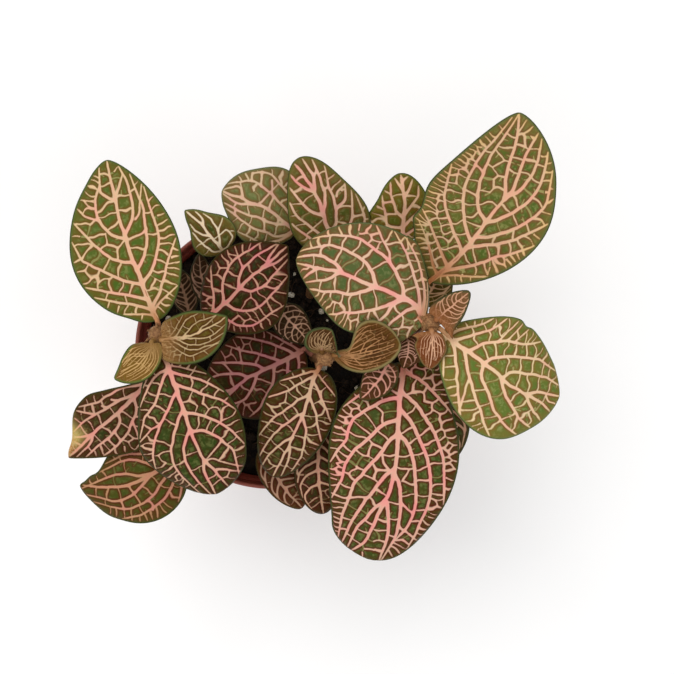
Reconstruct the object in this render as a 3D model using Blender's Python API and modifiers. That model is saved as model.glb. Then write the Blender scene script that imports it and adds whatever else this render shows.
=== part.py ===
"""Nerve plant (Fittonia) in a small plastic nursery pot.

Lengths below are millimetres and are scaled to metres when a mesh is made.
The pot stands on Z = 0 with its axis on Z.  Every leaf, stem, the potting mix
and the pot is an object of its own.
"""
import math
import random

import bmesh
import bpy
from mathutils import Vector

MM = 0.001
GAP = 0.3               # clearance between pieces that meet

# pot
POT_H = 75.0            # height to the top of the rim
RIM_R = 42.5            # outer radius of the rim
COLLAR_H = 6.6          # height of the rolled collar under the rim
BASE_R = 29.4           # radius of the flat base
WALL = 0.9
FLOOR = 1.8
DRAIN_R = 2.5           # drainage holes: radius, ring radius, count
DRAIN_RING = 19.0
DRAIN_N = 8

# potting mix
SOIL_TOP = 67.0         # mean surface height
SOCKET_DEPTH = 8.0      # how deep the stems are rooted

# stems: centre-line points from the soil surface up, and radii
STEM_R0, STEM_R1 = 1.55, 1.1
STEMS = {
    "stem_left": [(-22, 4, 67), (-24.5, 4.2, 73), (-27.5, 4.6, 81), (-29.8, 5, 89), (-31.2, 5, 96), (-31.8, 5, 103)],
    "stem_right": [(27, 5, 67), (30.5, 5.2, 73), (35.5, 5.6, 82), (40, 6.2, 90), (43.4, 7, 97), (45.2, 8, 105), (45.6, 8.3, 111)],
    "stem_centre": [(12, -2, 67), (13, -2, 74), (14.3, -2, 83), (15.5, -1.9, 92), (16.2, -1.6, 99), (16.4, -1.3, 103.5)],
    "stem_front": [(1, -17, 67), (1.2, -18.2, 71), (1, -20, 76), (0.8, -21, 79)],
    "stem_front_left": [(-16, -17, 67), (-17.4, -18.6, 71), (-19.2, -20.8, 76), (-20, -21.8, 79)],
    "stem_rear": [(11, 17, 67), (12, 20, 73), (12.9, 23, 80), (13.4, 25, 87)],
    "stem_rear_left": [(-10, 14, 67), (-9.7, 15.4, 73), (-9.2, 17, 79), (-9, 18, 85)],
    "stem_rear_right": [(30, 17, 67), (32.6, 19.8, 73), (35.6, 23.2, 80), (37, 25, 86)],
}

# Leaves.  at: stem and height where the petiole starts.  base, mid, tip: start,
# middle and end of the blade's midrib.  w: greatest half widths left and right
# of the midrib.  m: how far along the midrib each of those lies.  q: fullness at
# the base, and at the tip on the left and the right (smaller is blunter).
# cup: curl of the cross-section at base and tip, in radians at the margin
# (minus is margins down).  wave: height of the margin's ripple.
LEAVES = {}


def leaf(name, at, base, mid, tip, w, m, q, cup=(-0.2, -0.2), wave=0.3, turns=2.0, phase=0.0):
    LEAVES[name] = dict(at=at, base=base, mid=mid, tip=tip, w=w, m=m, q=q, cup=cup, wave=wave, turns=turns, phase=phase)


# left stem
leaf("leaf_left_rear", ("stem_left", 100), (-31.5, 9, 103), (-39, 31, 107), (-46, 54.5, 103),
     (16.5, 13.5), (0.45, 0.45), (0.7, 0.7, 0.7), (0.25, 0.1), 0.5)
leaf("leaf_left_front", ("stem_left", 100), (-31, 1, 103), (-22.5, -19.5, 107), (-15, -41, 98),
     (14.5, 15.5), (0.6, 0.6), (0.5, 0.4, 0.5), (-0.35, -0.5), 0.5)
leaf("leaf_left_young_inner", ("stem_left", 102.3), (-28.6, 3.6, 106), (-20, 5, 111), (-11, 10, 111),
     (6.5, 7.5), (0.45, 0.45), (0.4, 0.8, 0.8), (0.35, 0.2))
leaf("leaf_left_young_outer", ("stem_left", 102.3), (-32.8, 2.6, 105), (-35.5, -3, 108), (-43.5, -7.5, 104),
     (4.5, 5), (0.5, 0.45), (0.5, 0.8, 0.8), (0.3, 0.2))
leaf("leaf_left_low_outer", ("stem_left", 88), (-35, -7.5, 92), (-45, -17.5, 91), (-61, -32, 83),
     (14, 9.5), (0.45, 0.7), (0.75, 0.9, 0.8), (-0.3, -0.3))
leaf("leaf_left_low_inner", ("stem_left", 88), (-19, 10, 95), (-6, 21, 100), (5.5, 30.5, 98),
     (11, 15), (0.45, 0.4), (0.7, 0.8, 0.9), (-0.3, -0.4))
leaf("leaf_left_base", ("stem_left", 78), (-25, 11, 84), (-26, 17.5, 86), (-28.5, 25, 86),
     (4, 4), (0.5, 0.5), (0.6, 0.8, 0.8))
# right stem
leaf("leaf_right_inner", ("stem_right", 107), (43, 9, 110), (26.5, 20, 114), (8, 26, 106),
     (15, 17.5), (0.45, 0.45), (0.75, 0.6, 0.5), (-0.7, -0.4))
leaf("leaf_right_outer", ("stem_right", 107), (49, 6, 110), (64, -6, 113), (82.5, -12.5, 105),
     (16.5, 17), (0.5, 0.6), (0.55, 0.5, 0.6), (-0.25, -0.3), 0.5)
leaf("leaf_right_rear", ("stem_right", 95), (46.5, 20.5, 98), (62.5, 39, 109), (69, 65, 119),
     (19, 16), (0.5, 0.55), (0.75, 0.7, 0.7), (0.15, 0.3), 0.5)
leaf("leaf_right_front", ("stem_right", 95), (39, -4.5, 98), (36.5, -31, 103), (28.5, -61, 91),
     (18, 20), (0.5, 0.45), (0.7, 0.4, 0.3), (-0.35, -0.35), 0.5)
leaf("leaf_right_young_rear", ("stem_right", 110), (48, 9.8, 113), (51.3, 13, 117), (55.5, 16.5, 119),
     (3.5, 4.5), (0.35, 0.3), (0.8, 0.7, 0.7), (0.5, 0.3))
leaf("leaf_right_young_front", ("stem_right", 110), (45.8, 5.8, 112.5), (45.7, 1.6, 115), (45.5, -3.5, 111.5),
     (3.5, 3.5), (0.5, 0.5), (0.4, 0.5, 0.5), (-0.4, -0.3))
leaf("leaf_right_low_rear", ("stem_right", 88), (44, 13.5, 91), (48, 19.5, 94), (52, 26, 93),
     (5, 4.5), (0.6, 0.55), (0.6, 0.8, 0.8))
leaf("leaf_right_low_front", ("stem_right", 84), (48.5, -8, 87), (50.5, -21, 91), (51.5, -36, 86),
     (8, 7), (0.5, 0.5), (0.5, 0.9, 0.9))
leaf("leaf_right_bud_left", ("stem_right", 97), (34, -2.6, 105.5), (31.1, -8.2, 105.5), (26.3, -13.3, 104),
     (4.5, 4.5), (0.4, 0.45), (0.5, 0.7, 0.7))
leaf("leaf_right_bud_right", ("stem_right", 101), (39, 4.6, 105.5), (39.6, 0.2, 107), (38.2, -4.6, 104.5),
     (3, 3.5), (0.5, 0.45), (0.6, 0.7, 0.7), (-0.5, -0.4))
# centre stem
leaf("leaf_centre_front", ("stem_centre", 93), (14.3, -5, 96), (9.2, -19, 98), (0.5, -37, 89),
     (9, 11.5), (0.5, 0.5), (0.45, 0.5, 0.4), (-0.2, -0.3))
leaf("leaf_centre_young_right", ("stem_centre", 101.5), (19.2, -0.8, 105), (27.7, 0, 110), (37, 3, 111),
     (9, 5.5), (0.65, 0.55), (0.8, 0.5, 0.5), (0.9, 0.6))
leaf("leaf_centre_young_left", ("stem_centre", 101.5), (14.4, 0.6, 105), (14.6, 3.6, 107.5), (17, 6.6, 110),
     (5, 5), (0.5, 0.5), (0.6, 0.6, 0.6), (0.8, 0.8))
leaf("leaf_centre_low_left", ("stem_centre", 77), (9.5, 0.6, 80), (-4.4, -6.4, 83), (-21, -12.2, 80),
     (14, 13), (0.5, 0.5), (0.6, 0.6, 0.6))
leaf("leaf_centre_low_front", ("stem_centre", 78), (15, -24, 84), (14, -35.8, 86), (15.6, -49.2, 81),
     (7, 7), (0.5, 0.55), (0.5, 0.5, 0.5))
# short stems at the front
leaf("leaf_front", ("stem_front", 77), (-3, -29.4, 81), (2.6, -39.4, 83), (9.2, -47.6, 79),
     (7, 4.5), (0.6, 0.4), (0.7, 0.5, 0.5))
leaf("leaf_front_left", ("stem_front_left", 77), (-27, -33, 83), (-41, -38, 85), (-58.5, -41, 79),
     (14, 12), (0.45, 0.4), (0.5, 0.7, 0.7), (-0.2, -0.3))
# stems at the rear
leaf("leaf_rear_left", ("stem_rear", 84), (8, 35.5, 89), (-3.3, 42.4, 95), (-14, 46.8, 94),
     (11, 13.5), (0.4, 0.4), (0.65, 0.65, 0.6), (-0.3, -0.3))
leaf("leaf_rear_middle", ("stem_rear", 84), (19, 28.5, 90), (15, 42.5, 98), (8.2, 55, 102),
     (10.5, 12.5), (0.35, 0.3), (0.8, 0.5, 0.55))
leaf("leaf_rear_right", ("stem_rear_right", 83), (39, 30.6, 88), (38.5, 41, 94), (37.8, 51.4, 98),
     (10.5, 8), (0.3, 0.5), (0.9, 0.65, 0.5), (-0.3, -0.1))
leaf("leaf_rear_small", ("stem_rear_left", 83), (-13.4, 29, 94), (-18.3, 35.3, 99.5), (-24, 40.5, 100),
     (6, 7), (0.3, 0.3), (0.65, 0.85, 0.85), (-0.3, -0.2))
leaf("leaf_rear_inner", ("stem_rear_left", 83), (1.9, 13, 86), (6.1, 8.4, 87.5), (12, 2.1, 85),
     (5, 5), (0.45, 0.45), (0.5, 0.7, 0.7))
leaf("leaf_rear_low", ("stem_rear_left", 81), (-16, 13, 87), (-19.8, 20, 89), (-21, 29, 89),
     (3.5, 3.5), (0.5, 0.55), (0.6, 0.8, 0.8))

PETIOLE_W = 0.7         # half width of a leaf stalk
PETIOLE_T = 1.4         # its thickness
BLADE_T = 0.42          # thickness of a leaf blade


# ---------------------------------------------------------------- leaf shape

def lerp(a, b, f):
    return a + (b - a) * f


def three(a, m, b, s):
    """Parabola through a, m and b at s = 0, 0.5 and 1."""
    return a * (2 * (s - 0.5) * (s - 1)) + m * (4 * s * (1 - s)) + b * (2 * s * (s - 0.5))


def three_slope(a, m, b, s):
    return a * (4 * s - 3) + m * (4 - 8 * s) + b * (4 * s - 1)


def width(spec, s, side):
    """Half width of the blade at s, from an eased sine that peaks at m."""
    i = 0 if side > 0 else 1
    s = min(max(s, 0.0), 1.0)
    power = math.log(0.5) / math.log(spec["m"][i])
    crest = max(math.sin(math.pi * s ** power), 0.0)
    return spec["w"][i] * crest ** lerp(spec["q"][0], spec["q"][1 + i], s)


def blade_point(spec, s, t):
    """A point of the blade: s along the midrib, t from -1 (right) to 1 (left)."""
    base, mid, tip = (Vector(spec[k]) for k in ("base", "mid", "tip"))
    centre = three(base, mid, tip, s)
    along = three_slope(base, mid, tip, s).normalized()
    across = Vector((0, 0, 1)).cross(along).normalized()
    up = along.cross(across)
    w = width(spec, s, 1 if t >= 0 else -1)
    w += 0.25 + (PETIOLE_W - 0.25) * (1 - s) ** 6
    curl = lerp(spec["cup"][0], spec["cup"][1], s)
    if abs(curl) < 1e-4:
        curl = 1e-4
    out = w * math.sin(t * curl) / curl
    rise = w * (1 - math.cos(t * curl)) / curl
    side = 0.0 if t > 0 else 0.37
    rise += (spec["wave"] * t * t * math.sqrt(max(math.sin(math.pi * s), 0.0))
             * math.sin(2 * math.pi * (spec["turns"] * s + spec["phase"] + side)))
    return centre + across * out + up * rise


def stem_at(name, z):
    """Centre of a stem and its radius at a height."""
    pts = STEMS[name]
    for a, b in zip(pts, pts[1:]):
        if z <= b[2] or b is pts[-1]:
            f = min(max((z - a[2]) / (b[2] - a[2]), 0.0), 1.0)
            p = Vector(a).lerp(Vector(b), f)
            break
    f = (p.z - pts[0][2]) / (pts[-1][2] - pts[0][2])
    return p, lerp(STEM_R0, STEM_R1, f)


def petiole_point(spec, u, t):
    """A point of the leaf stalk: u from 0 at the stem to 1 at the blade."""
    base, mid, tip = (Vector(spec[k]) for k in ("base", "mid", "tip"))
    axis, r = stem_at(*spec["at"])
    away = base - axis
    away.z *= 0.35
    away.normalize()
    start = axis + away * (r + GAP + 0.5)
    along0 = three_slope(base, mid, tip, 0.0).normalized()
    reach = (base - start).length
    c1 = start + away * reach * 0.35
    c2 = base - along0 * reach * 0.35
    v = 1 - u
    p = start * v ** 3 + c1 * (3 * v * v * u) + c2 * (3 * v * u * u) + base * u ** 3
    along = ((c1 - start) * (3 * v * v) + (c2 - c1) * (6 * v * u) + (base - c2) * (3 * u * u)).normalized()
    across = Vector((0, 0, 1)).cross(along0).normalized()
    across = (across - along * across.dot(along)).normalized()
    return p + across * (t * PETIOLE_W)


# ---------------------------------------------------------------- helpers

def material(name, colour, rough, metallic=0.0):
    mat = bpy.data.materials.new(name)
    mat.use_nodes = True
    shader = mat.node_tree.nodes["Principled BSDF"]
    shader.inputs["Base Color"].default_value = (*colour, 1)
    shader.inputs["Roughness"].default_value = rough
    shader.inputs["Metallic"].default_value = metallic
    mat.diffuse_color = (*colour, 1)
    return mat


def new_object(name, data, coll, mat=None):
    obj = bpy.data.objects.new(name, data)
    coll.objects.link(obj)
    if mat is not None:
        obj.data.materials.append(mat)
    return obj


def make_leaf(name, spec, coll, mat):
    """Stalk and blade as one surface of a grid, thickened by Solidify."""
    length = (Vector(spec["tip"]) - Vector(spec["base"])).length
    rows = 9 if length > 35 else 8 if length > 20 else 6
    stalk = 3
    cols = 4
    bm = bmesh.new()
    bmesh.ops.create_grid(bm, x_segments=rows + stalk, y_segments=cols, size=0.5)
    mesh = bpy.data.meshes.new(name)
    thick = []
    for v in bm.verts:
        i = round((v.co.x + 0.5) * (rows + stalk))
        t = round((v.co.y + 0.5) * cols) * 2 / cols - 1
        if i < stalk:
            v.co = petiole_point(spec, i / stalk, t) * MM
            thick.append(1.0)
        else:
            s = 0.5 - 0.5 * math.cos(math.pi * (i - stalk) / rows)
            v.co = blade_point(spec, s, t) * MM
            thick.append(1.0 if i == stalk else 0.35 if i == stalk + 1 and t == 0 else 0.0)
    bm.to_mesh(mesh)
    bm.free()
    obj = new_object(name, mesh, coll, mat)
    group = obj.vertex_groups.new(name="stalk")
    for i, weight in enumerate(thick):
        group.add([i], weight, "REPLACE")
    solid = obj.modifiers.new("thickness", "SOLIDIFY")
    solid.thickness = PETIOLE_T * MM
    solid.offset = 0.0
    solid.vertex_group = group.name
    solid.thickness_vertex_group = BLADE_T / PETIOLE_T
    for poly in mesh.polygons:
        poly.use_smooth = True
    return obj


def make_stem(name, points, coll, mat):
    """Tapered tube: straight in the soil, then bent through its points."""
    x, y, z = points[0]
    path = [(x, y, z - SOCKET_DEPTH), (x, y, z - 1.0)] + list(points[1:])
    curve = bpy.data.curves.new(name, "CURVE")
    curve.dimensions = "3D"
    curve.bevel_depth = MM
    curve.bevel_resolution = 2
    curve.use_fill_caps = True
    spline = curve.splines.new("POLY")
    spline.points.add(len(path) - 1)
    for i, p in enumerate(path):
        spline.points[i].co = (*(c * MM for c in p), 1)
        f = max(0.0, (p[2] - z) / (points[-1][2] - z))
        spline.points[i].radius = lerp(STEM_R0, STEM_R1, f) * (0.75 if i == len(path) - 1 else 1)
    return new_object(name, curve, coll, mat)


def turned(name, profile, coll, mat, steps):
    """Revolve a profile (radius, height) about Z."""
    mesh = bpy.data.meshes.new(name)
    mesh.from_pydata([(r * MM, 0, z * MM) for r, z in profile],
                     [(i, i + 1) for i in range(len(profile) - 1)], [])
    obj = new_object(name, mesh, coll, mat)
    screw = obj.modifiers.new("turn", "SCREW")
    screw.axis = "Z"
    screw.steps = steps
    screw.render_steps = steps
    screw.use_merge_vertices = True
    screw.merge_threshold = 1e-5
    screw.use_smooth_shade = True
    return obj


def cutter(name, x, y, z0, z1, r, coll, sides):
    bpy.ops.mesh.primitive_cylinder_add(vertices=sides, radius=r * MM, depth=(z1 - z0) * MM,
                                        location=(x * MM, y * MM, (z0 + z1) / 2 * MM))
    obj = bpy.context.object
    obj.name = name
    for c in list(obj.users_collection):
        c.objects.unlink(obj)
    coll.objects.link(obj)
    obj.hide_render = True
    obj.display_type = "WIRE"
    return obj


def cut(obj, tool):
    mod = obj.modifiers.new(tool.name, "BOOLEAN")
    mod.operation = "DIFFERENCE"
    mod.solver = "EXACT"
    mod.object = tool


def outer_radius(z):
    """Outside of the tapered wall below the collar."""
    return lerp(BASE_R + 1.2, RIM_R - 1.3, (z - 3.0) / (POT_H - COLLAR_H - 3.0))


# ---------------------------------------------------------------- the model

def main():
    for obj in list(bpy.data.objects):
        bpy.data.objects.remove(obj, do_unlink=True)
    plant = bpy.data.collections.new("nerve_plant")
    cutters = bpy.data.collections.new("cutters")
    for c in (plant, cutters):
        bpy.context.scene.collection.children.link(c)
    rng = random.Random(11)

    plastic = material("plastic_terracotta", (0.20, 0.045, 0.03), 0.42)
    mix = material("potting_mix", (0.012, 0.009, 0.007), 0.95)
    stem_mat = material("stem", (0.30, 0.13, 0.06), 0.6)
    mature = material("leaf_mature", (0.12, 0.15, 0.05), 0.48)
    shaded = material("leaf_shaded", (0.07, 0.05, 0.03), 0.5)
    young = material("leaf_young", (0.22, 0.13, 0.05), 0.55)

    # pot: inside of the floor, up the inner wall, over the rim, down outside
    top = POT_H - COLLAR_H
    inner_top = outer_radius(top) - WALL
    inner_low = outer_radius(5.0) - WALL
    profile = [
        (0, FLOOR), (inner_low - 3.2, FLOOR), (inner_low - 0.9, FLOOR + 1.0), (inner_low, 5.0),
        (inner_top, top), (RIM_R - 1.5, top + 1.2), (RIM_R - 1.25, POT_H - 0.5), (RIM_R - 0.9, POT_H),
        (RIM_R - 0.35, POT_H), (RIM_R, POT_H - 0.5), (RIM_R - 0.15, top + 0.5), (RIM_R - 0.6, top),
        (outer_radius(top) + 0.05, top - 0.25), (outer_radius(3.0), 3.0), (BASE_R + 0.5, 0.8), (BASE_R, 0), (0, 0),
    ]
    pot = turned("pot", profile, plant, plastic, 48)
    for i in range(DRAIN_N):
        a = 2 * math.pi * (i + 0.37) / DRAIN_N
        hole = cutter(f"drain_{i + 1}", DRAIN_RING * math.cos(a), DRAIN_RING * math.sin(a), -2, FLOOR + 2, DRAIN_R, cutters, 12)
        cut(pot, hole)

    # potting mix: fills the pot to below the rim, a little higher in the middle
    def inside(z):
        return lerp(inner_low, inner_top, (z - 5.0) / (top - 5.0)) - GAP
    soil_profile = [
        (0, SOIL_TOP + 0.9), (14, SOIL_TOP + 0.5), (27, SOIL_TOP - 0.1), (inside(SOIL_TOP) - 2.0, SOIL_TOP - 0.7),
        (inside(SOIL_TOP - 2.0), SOIL_TOP - 2.0), (inside(5.4), 5.4), (inside(5.4) - 1.4, FLOOR + 1.6), (inside(5.4) - 3.6, FLOOR + GAP), (0, FLOOR + GAP),
    ]
    soil = turned("potting_mix", soil_profile, plant, mix, 32)
    for name, points in STEMS.items():
        x, y, z = points[0]
        make_stem(name, points, plant, stem_mat)
        socket = cutter("socket_" + name, x, y, z - SOCKET_DEPTH - 0.5, z + 4, STEM_R0 + GAP + 0.7, cutters, 10)
        cut(soil, socket)

    for name, spec in LEAVES.items():
        spec["phase"] = rng.random()
        if "young" in name or "bud" in name:
            mat = young
        elif "low" in name or name.endswith("base") or "inner" in name and "rear" in name:
            mat = shaded
        else:
            mat = mature
        make_leaf(name, spec, plant, mat)


main()
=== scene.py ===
"""Looks of the potted nerve plant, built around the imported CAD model.

Every leaf is a closed blade with its own vein network: the network is drawn as
distance fields on the flattened blade, carried to the mesh as attributes, and
coloured by node materials.  Lengths below are millimetres unless noted.
"""
import math
import random
import bpy
import numpy as np
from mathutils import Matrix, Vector, noise


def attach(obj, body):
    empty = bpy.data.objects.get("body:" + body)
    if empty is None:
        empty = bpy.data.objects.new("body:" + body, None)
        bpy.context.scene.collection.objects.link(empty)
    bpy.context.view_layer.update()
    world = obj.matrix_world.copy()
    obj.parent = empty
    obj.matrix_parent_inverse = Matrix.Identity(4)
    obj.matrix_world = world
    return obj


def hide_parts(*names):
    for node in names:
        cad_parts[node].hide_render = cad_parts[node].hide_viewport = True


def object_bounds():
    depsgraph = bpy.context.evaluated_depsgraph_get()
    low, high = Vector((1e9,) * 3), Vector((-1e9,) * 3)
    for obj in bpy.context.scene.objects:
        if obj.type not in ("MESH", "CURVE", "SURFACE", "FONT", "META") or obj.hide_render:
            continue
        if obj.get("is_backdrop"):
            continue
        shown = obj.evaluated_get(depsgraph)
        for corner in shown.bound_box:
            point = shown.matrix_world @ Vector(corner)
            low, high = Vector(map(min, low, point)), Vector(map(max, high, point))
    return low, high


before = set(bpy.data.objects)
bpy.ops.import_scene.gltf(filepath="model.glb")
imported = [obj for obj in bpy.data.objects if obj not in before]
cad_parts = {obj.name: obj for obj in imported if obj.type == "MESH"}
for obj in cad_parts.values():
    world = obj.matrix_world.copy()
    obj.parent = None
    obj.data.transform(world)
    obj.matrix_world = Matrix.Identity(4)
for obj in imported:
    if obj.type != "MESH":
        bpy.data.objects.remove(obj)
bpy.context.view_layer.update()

MM = 0.001
COLLECTION = bpy.context.scene.collection

# ------------------------------------------------------------------ sizes, as in part.py
GAP = 0.3
POT_H, RIM_R, COLLAR_H, BASE_R, WALL, FLOOR = 75.0, 42.5, 6.6, 29.4, 0.9, 1.8
DRAIN_R, DRAIN_RING, DRAIN_N = 2.5, 19.0, 8
SOIL_TOP = 67.0
STEM_R0, STEM_R1 = 1.55, 1.1
PETIOLE_W, BLADE_T = 0.7, 0.42
STEMS = {
    "stem_left": [(-22, 4, 67), (-24.5, 4.2, 73), (-27.5, 4.6, 81), (-29.8, 5, 89), (-31.2, 5, 96), (-31.8, 5, 103)],
    "stem_right": [(27, 5, 67), (30.5, 5.2, 73), (35.5, 5.6, 82), (40, 6.2, 90), (43.4, 7, 97), (45.2, 8, 105), (45.6, 8.3, 111)],
    "stem_centre": [(12, -2, 67), (13, -2, 74), (14.3, -2, 83), (15.5, -1.9, 92), (16.2, -1.6, 99), (16.4, -1.3, 103.5)],
    "stem_front": [(1, -17, 67), (1.2, -18.2, 71), (1, -20, 76), (0.8, -21, 79)],
    "stem_front_left": [(-16, -17, 67), (-17.4, -18.6, 71), (-19.2, -20.8, 76), (-20, -21.8, 79)],
    "stem_rear": [(11, 17, 67), (12, 20, 73), (12.9, 23, 80), (13.4, 25, 87)],
    "stem_rear_left": [(-10, 14, 67), (-9.7, 15.4, 73), (-9.2, 17, 79), (-9, 18, 85)],
    "stem_rear_right": [(30, 17, 67), (32.6, 19.8, 73), (35.6, 23.2, 80), (37, 25, 86)],
}
LEAVES = {}


def leaf(name, at, base, mid, tip, w, m, q, cup=(-0.2, -0.2), wave=0.3, turns=2.0, phase=0.0):
    LEAVES[name] = dict(at=at, base=base, mid=mid, tip=tip, w=w, m=m, q=q, cup=cup, wave=wave, turns=turns, phase=phase)


# left stem
leaf("leaf_left_rear", ("stem_left", 100), (-31.5, 9, 103), (-39, 31, 107), (-46, 54.5, 103),
     (16.5, 13.5), (0.45, 0.45), (0.7, 0.7, 0.7), (0.25, 0.1), 0.5)
leaf("leaf_left_front", ("stem_left", 100), (-31, 1, 103), (-22.5, -19.5, 107), (-15, -41, 98),
     (14.5, 15.5), (0.6, 0.6), (0.5, 0.4, 0.5), (-0.35, -0.5), 0.5)
leaf("leaf_left_young_inner", ("stem_left", 102.3), (-29.8, 3.4, 105.6), (-20, 5, 111), (-11, 10, 111),
     (6.5, 7.5), (0.45, 0.45), (0.4, 0.8, 0.8), (0.35, 0.2))
leaf("leaf_left_young_outer", ("stem_left", 102.3), (-32.8, 2.6, 105), (-35.5, -3, 108), (-43.5, -7.5, 104),
     (4.5, 5), (0.5, 0.45), (0.5, 0.8, 0.8), (0.3, 0.2))
leaf("leaf_left_low_outer", ("stem_left", 88), (-35, -7.5, 92), (-45, -17.5, 91), (-61, -32, 83),
     (14, 9.5), (0.45, 0.7), (0.75, 0.9, 0.8), (-0.3, -0.3))
leaf("leaf_left_low_inner", ("stem_left", 88), (-19, 10, 95), (-6, 21, 100), (5.5, 30.5, 98),
     (11, 15), (0.45, 0.4), (0.7, 0.8, 0.9), (-0.3, -0.4))
leaf("leaf_left_base", ("stem_left", 78), (-25, 11, 84), (-26, 17.5, 86), (-28.5, 25, 86),
     (4, 4), (0.5, 0.5), (0.6, 0.8, 0.8))
# right stem
leaf("leaf_right_inner", ("stem_right", 107), (43.8, 8.2, 110), (26.5, 20, 114), (8, 26, 106),
     (15, 17.5), (0.45, 0.45), (0.75, 0.6, 0.5), (-0.7, -0.4))
leaf("leaf_right_outer", ("stem_right", 107), (49, 6, 110), (64, -6, 113), (82.5, -12.5, 105),
     (16.5, 17), (0.5, 0.6), (0.55, 0.5, 0.6), (-0.25, -0.3), 0.5)
leaf("leaf_right_rear", ("stem_right", 95), (46.5, 20.5, 98), (62.5, 39, 109), (69, 65, 119),
     (19, 16), (0.5, 0.55), (0.75, 0.7, 0.7), (0.15, 0.3), 0.5)
leaf("leaf_right_front", ("stem_right", 95), (39, -2.7, 98.4), (36.5, -31, 103), (28.5, -61, 91),
     (18, 20), (0.5, 0.45), (0.7, 0.4, 0.3), (-0.35, -0.35), 0.5)
leaf("leaf_right_young_rear", ("stem_right", 110), (47.3, 9.2, 112.7), (51.3, 13, 117), (55.5, 16.5, 119),
     (3.5, 4.5), (0.35, 0.3), (0.8, 0.7, 0.7), (0.5, 0.3))
leaf("leaf_right_young_front", ("stem_right", 110), (45.8, 5.8, 112.5), (45.7, 1.1, 115), (45.3, -4.6, 111.2),
     (3.5, 3.5), (0.5, 0.5), (0.4, 0.5, 0.5), (-0.4, -0.3))
leaf("leaf_right_low_rear", ("stem_right", 88), (44, 13.5, 91), (48, 19.5, 94), (52, 26, 93),
     (5, 4.5), (0.6, 0.55), (0.6, 0.8, 0.8))
leaf("leaf_right_low_front", ("stem_right", 84), (48.5, -8, 87), (50.5, -21, 91), (51.5, -36, 86),
     (8, 7), (0.5, 0.5), (0.5, 0.9, 0.9))
leaf("leaf_right_bud_left", ("stem_right", 97), (34, -2.6, 105.5), (31.1, -8.2, 105.5), (26.3, -13.3, 104),
     (4.5, 4.5), (0.4, 0.45), (0.5, 0.7, 0.7))
leaf("leaf_right_bud_right", ("stem_right", 101), (39, 4.6, 105.5), (39.6, 0.2, 107), (38.2, -4.6, 104.5),
     (3, 3.5), (0.5, 0.45), (0.6, 0.7, 0.7), (-0.5, -0.4))
# centre stem
leaf("leaf_centre_front", ("stem_centre", 93), (14.3, -5, 96), (9.2, -19, 98), (0.5, -37, 89),
     (9, 11.5), (0.5, 0.5), (0.45, 0.5, 0.4), (-0.2, -0.3))
leaf("leaf_centre_young_right", ("stem_centre", 101.5), (19.2, -0.8, 105), (27.7, 0, 110), (37, 3, 111),
     (9, 5.5), (0.65, 0.55), (0.8, 0.5, 0.5), (0.9, 0.6))
leaf("leaf_centre_young_left", ("stem_centre", 101.5), (15.4, 0.2, 105), (15.9, 3.2, 107.5), (18.2, 6.1, 110),
     (5, 5), (0.5, 0.5), (0.6, 0.6, 0.6), (0.8, 0.8))
leaf("leaf_centre_low_left", ("stem_centre", 77), (9.5, 0.6, 80), (-4.4, -6.4, 83), (-21, -12.2, 80),
     (14, 13), (0.5, 0.5), (0.6, 0.6, 0.6))
leaf("leaf_centre_low_front", ("stem_centre", 78), (15, -24, 84), (14, -35.8, 86), (15.6, -49.2, 81),
     (7, 7), (0.5, 0.55), (0.5, 0.5, 0.5))
# short stems at the front
leaf("leaf_front", ("stem_front", 77), (-3, -29.4, 81), (2.6, -39.4, 83), (9.2, -47.6, 79),
     (7, 4.5), (0.6, 0.4), (0.7, 0.5, 0.5))
leaf("leaf_front_left", ("stem_front_left", 77), (-27, -33, 83), (-41, -38, 85), (-58.5, -41, 79),
     (14, 12), (0.45, 0.4), (0.5, 0.7, 0.7), (-0.2, -0.3))
# stems at the rear
leaf("leaf_rear_left", ("stem_rear", 84), (8, 35.5, 89), (-3.3, 42.4, 95), (-14, 46.8, 94),
     (11, 13.5), (0.4, 0.4), (0.65, 0.65, 0.6), (-0.3, -0.3))
leaf("leaf_rear_middle", ("stem_rear", 84), (19, 28.5, 90), (15, 42.5, 98), (8.2, 55, 102),
     (10.5, 12.5), (0.35, 0.3), (0.8, 0.5, 0.55))
leaf("leaf_rear_right", ("stem_rear_right", 83), (39, 30.6, 88), (38.5, 41, 94), (37.8, 51.4, 98),
     (10.5, 8), (0.3, 0.5), (0.9, 0.65, 0.5), (-0.3, -0.1))
leaf("leaf_rear_small", ("stem_rear_left", 83), (-13.4, 29, 94), (-18.3, 35.3, 99.5), (-24, 40.5, 100),
     (6, 7), (0.3, 0.3), (0.65, 0.85, 0.85), (-0.3, -0.2))
leaf("leaf_rear_inner", ("stem_rear_left", 83), (1.9, 13, 86), (6.1, 8.4, 87.5), (12, 2.1, 85),
     (5, 5), (0.45, 0.45), (0.5, 0.7, 0.7))
leaf("leaf_rear_low", ("stem_rear_left", 81), (-16, 13, 87), (-19.8, 20, 89), (-21, 29, 89),
     (3.5, 3.5), (0.5, 0.55), (0.6, 0.8, 0.8))

# half widths where the youngest blades clasp their node
for _name, _foot in {"leaf_left_young_inner": 1.7, "leaf_left_young_outer": 1.5, "leaf_right_young_rear": 2.2,
                     "leaf_right_young_front": 1.5, "leaf_centre_young_right": 1.2, "leaf_centre_young_left": 1.3,
                     "leaf_right_bud_left": 0.9, "leaf_right_bud_right": 0.9}.items():
    LEAVES[_name]["foot"] = _foot
LEAVES["leaf_right_inner"]["lobe"] = (1, 7.6)      # hang down beside the node
LEAVES["leaf_right_front"]["lobe"] = (1, 7.0)
LEAVES["leaf_right_young_rear"]["lobe"] = (-1, 4.0)
LEAVES["leaf_right_young_front"]["lobe"] = (-1, 3.0)
_phases = random.Random(11)
for _spec in LEAVES.values():
    _spec["phase"] = _phases.random()

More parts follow.
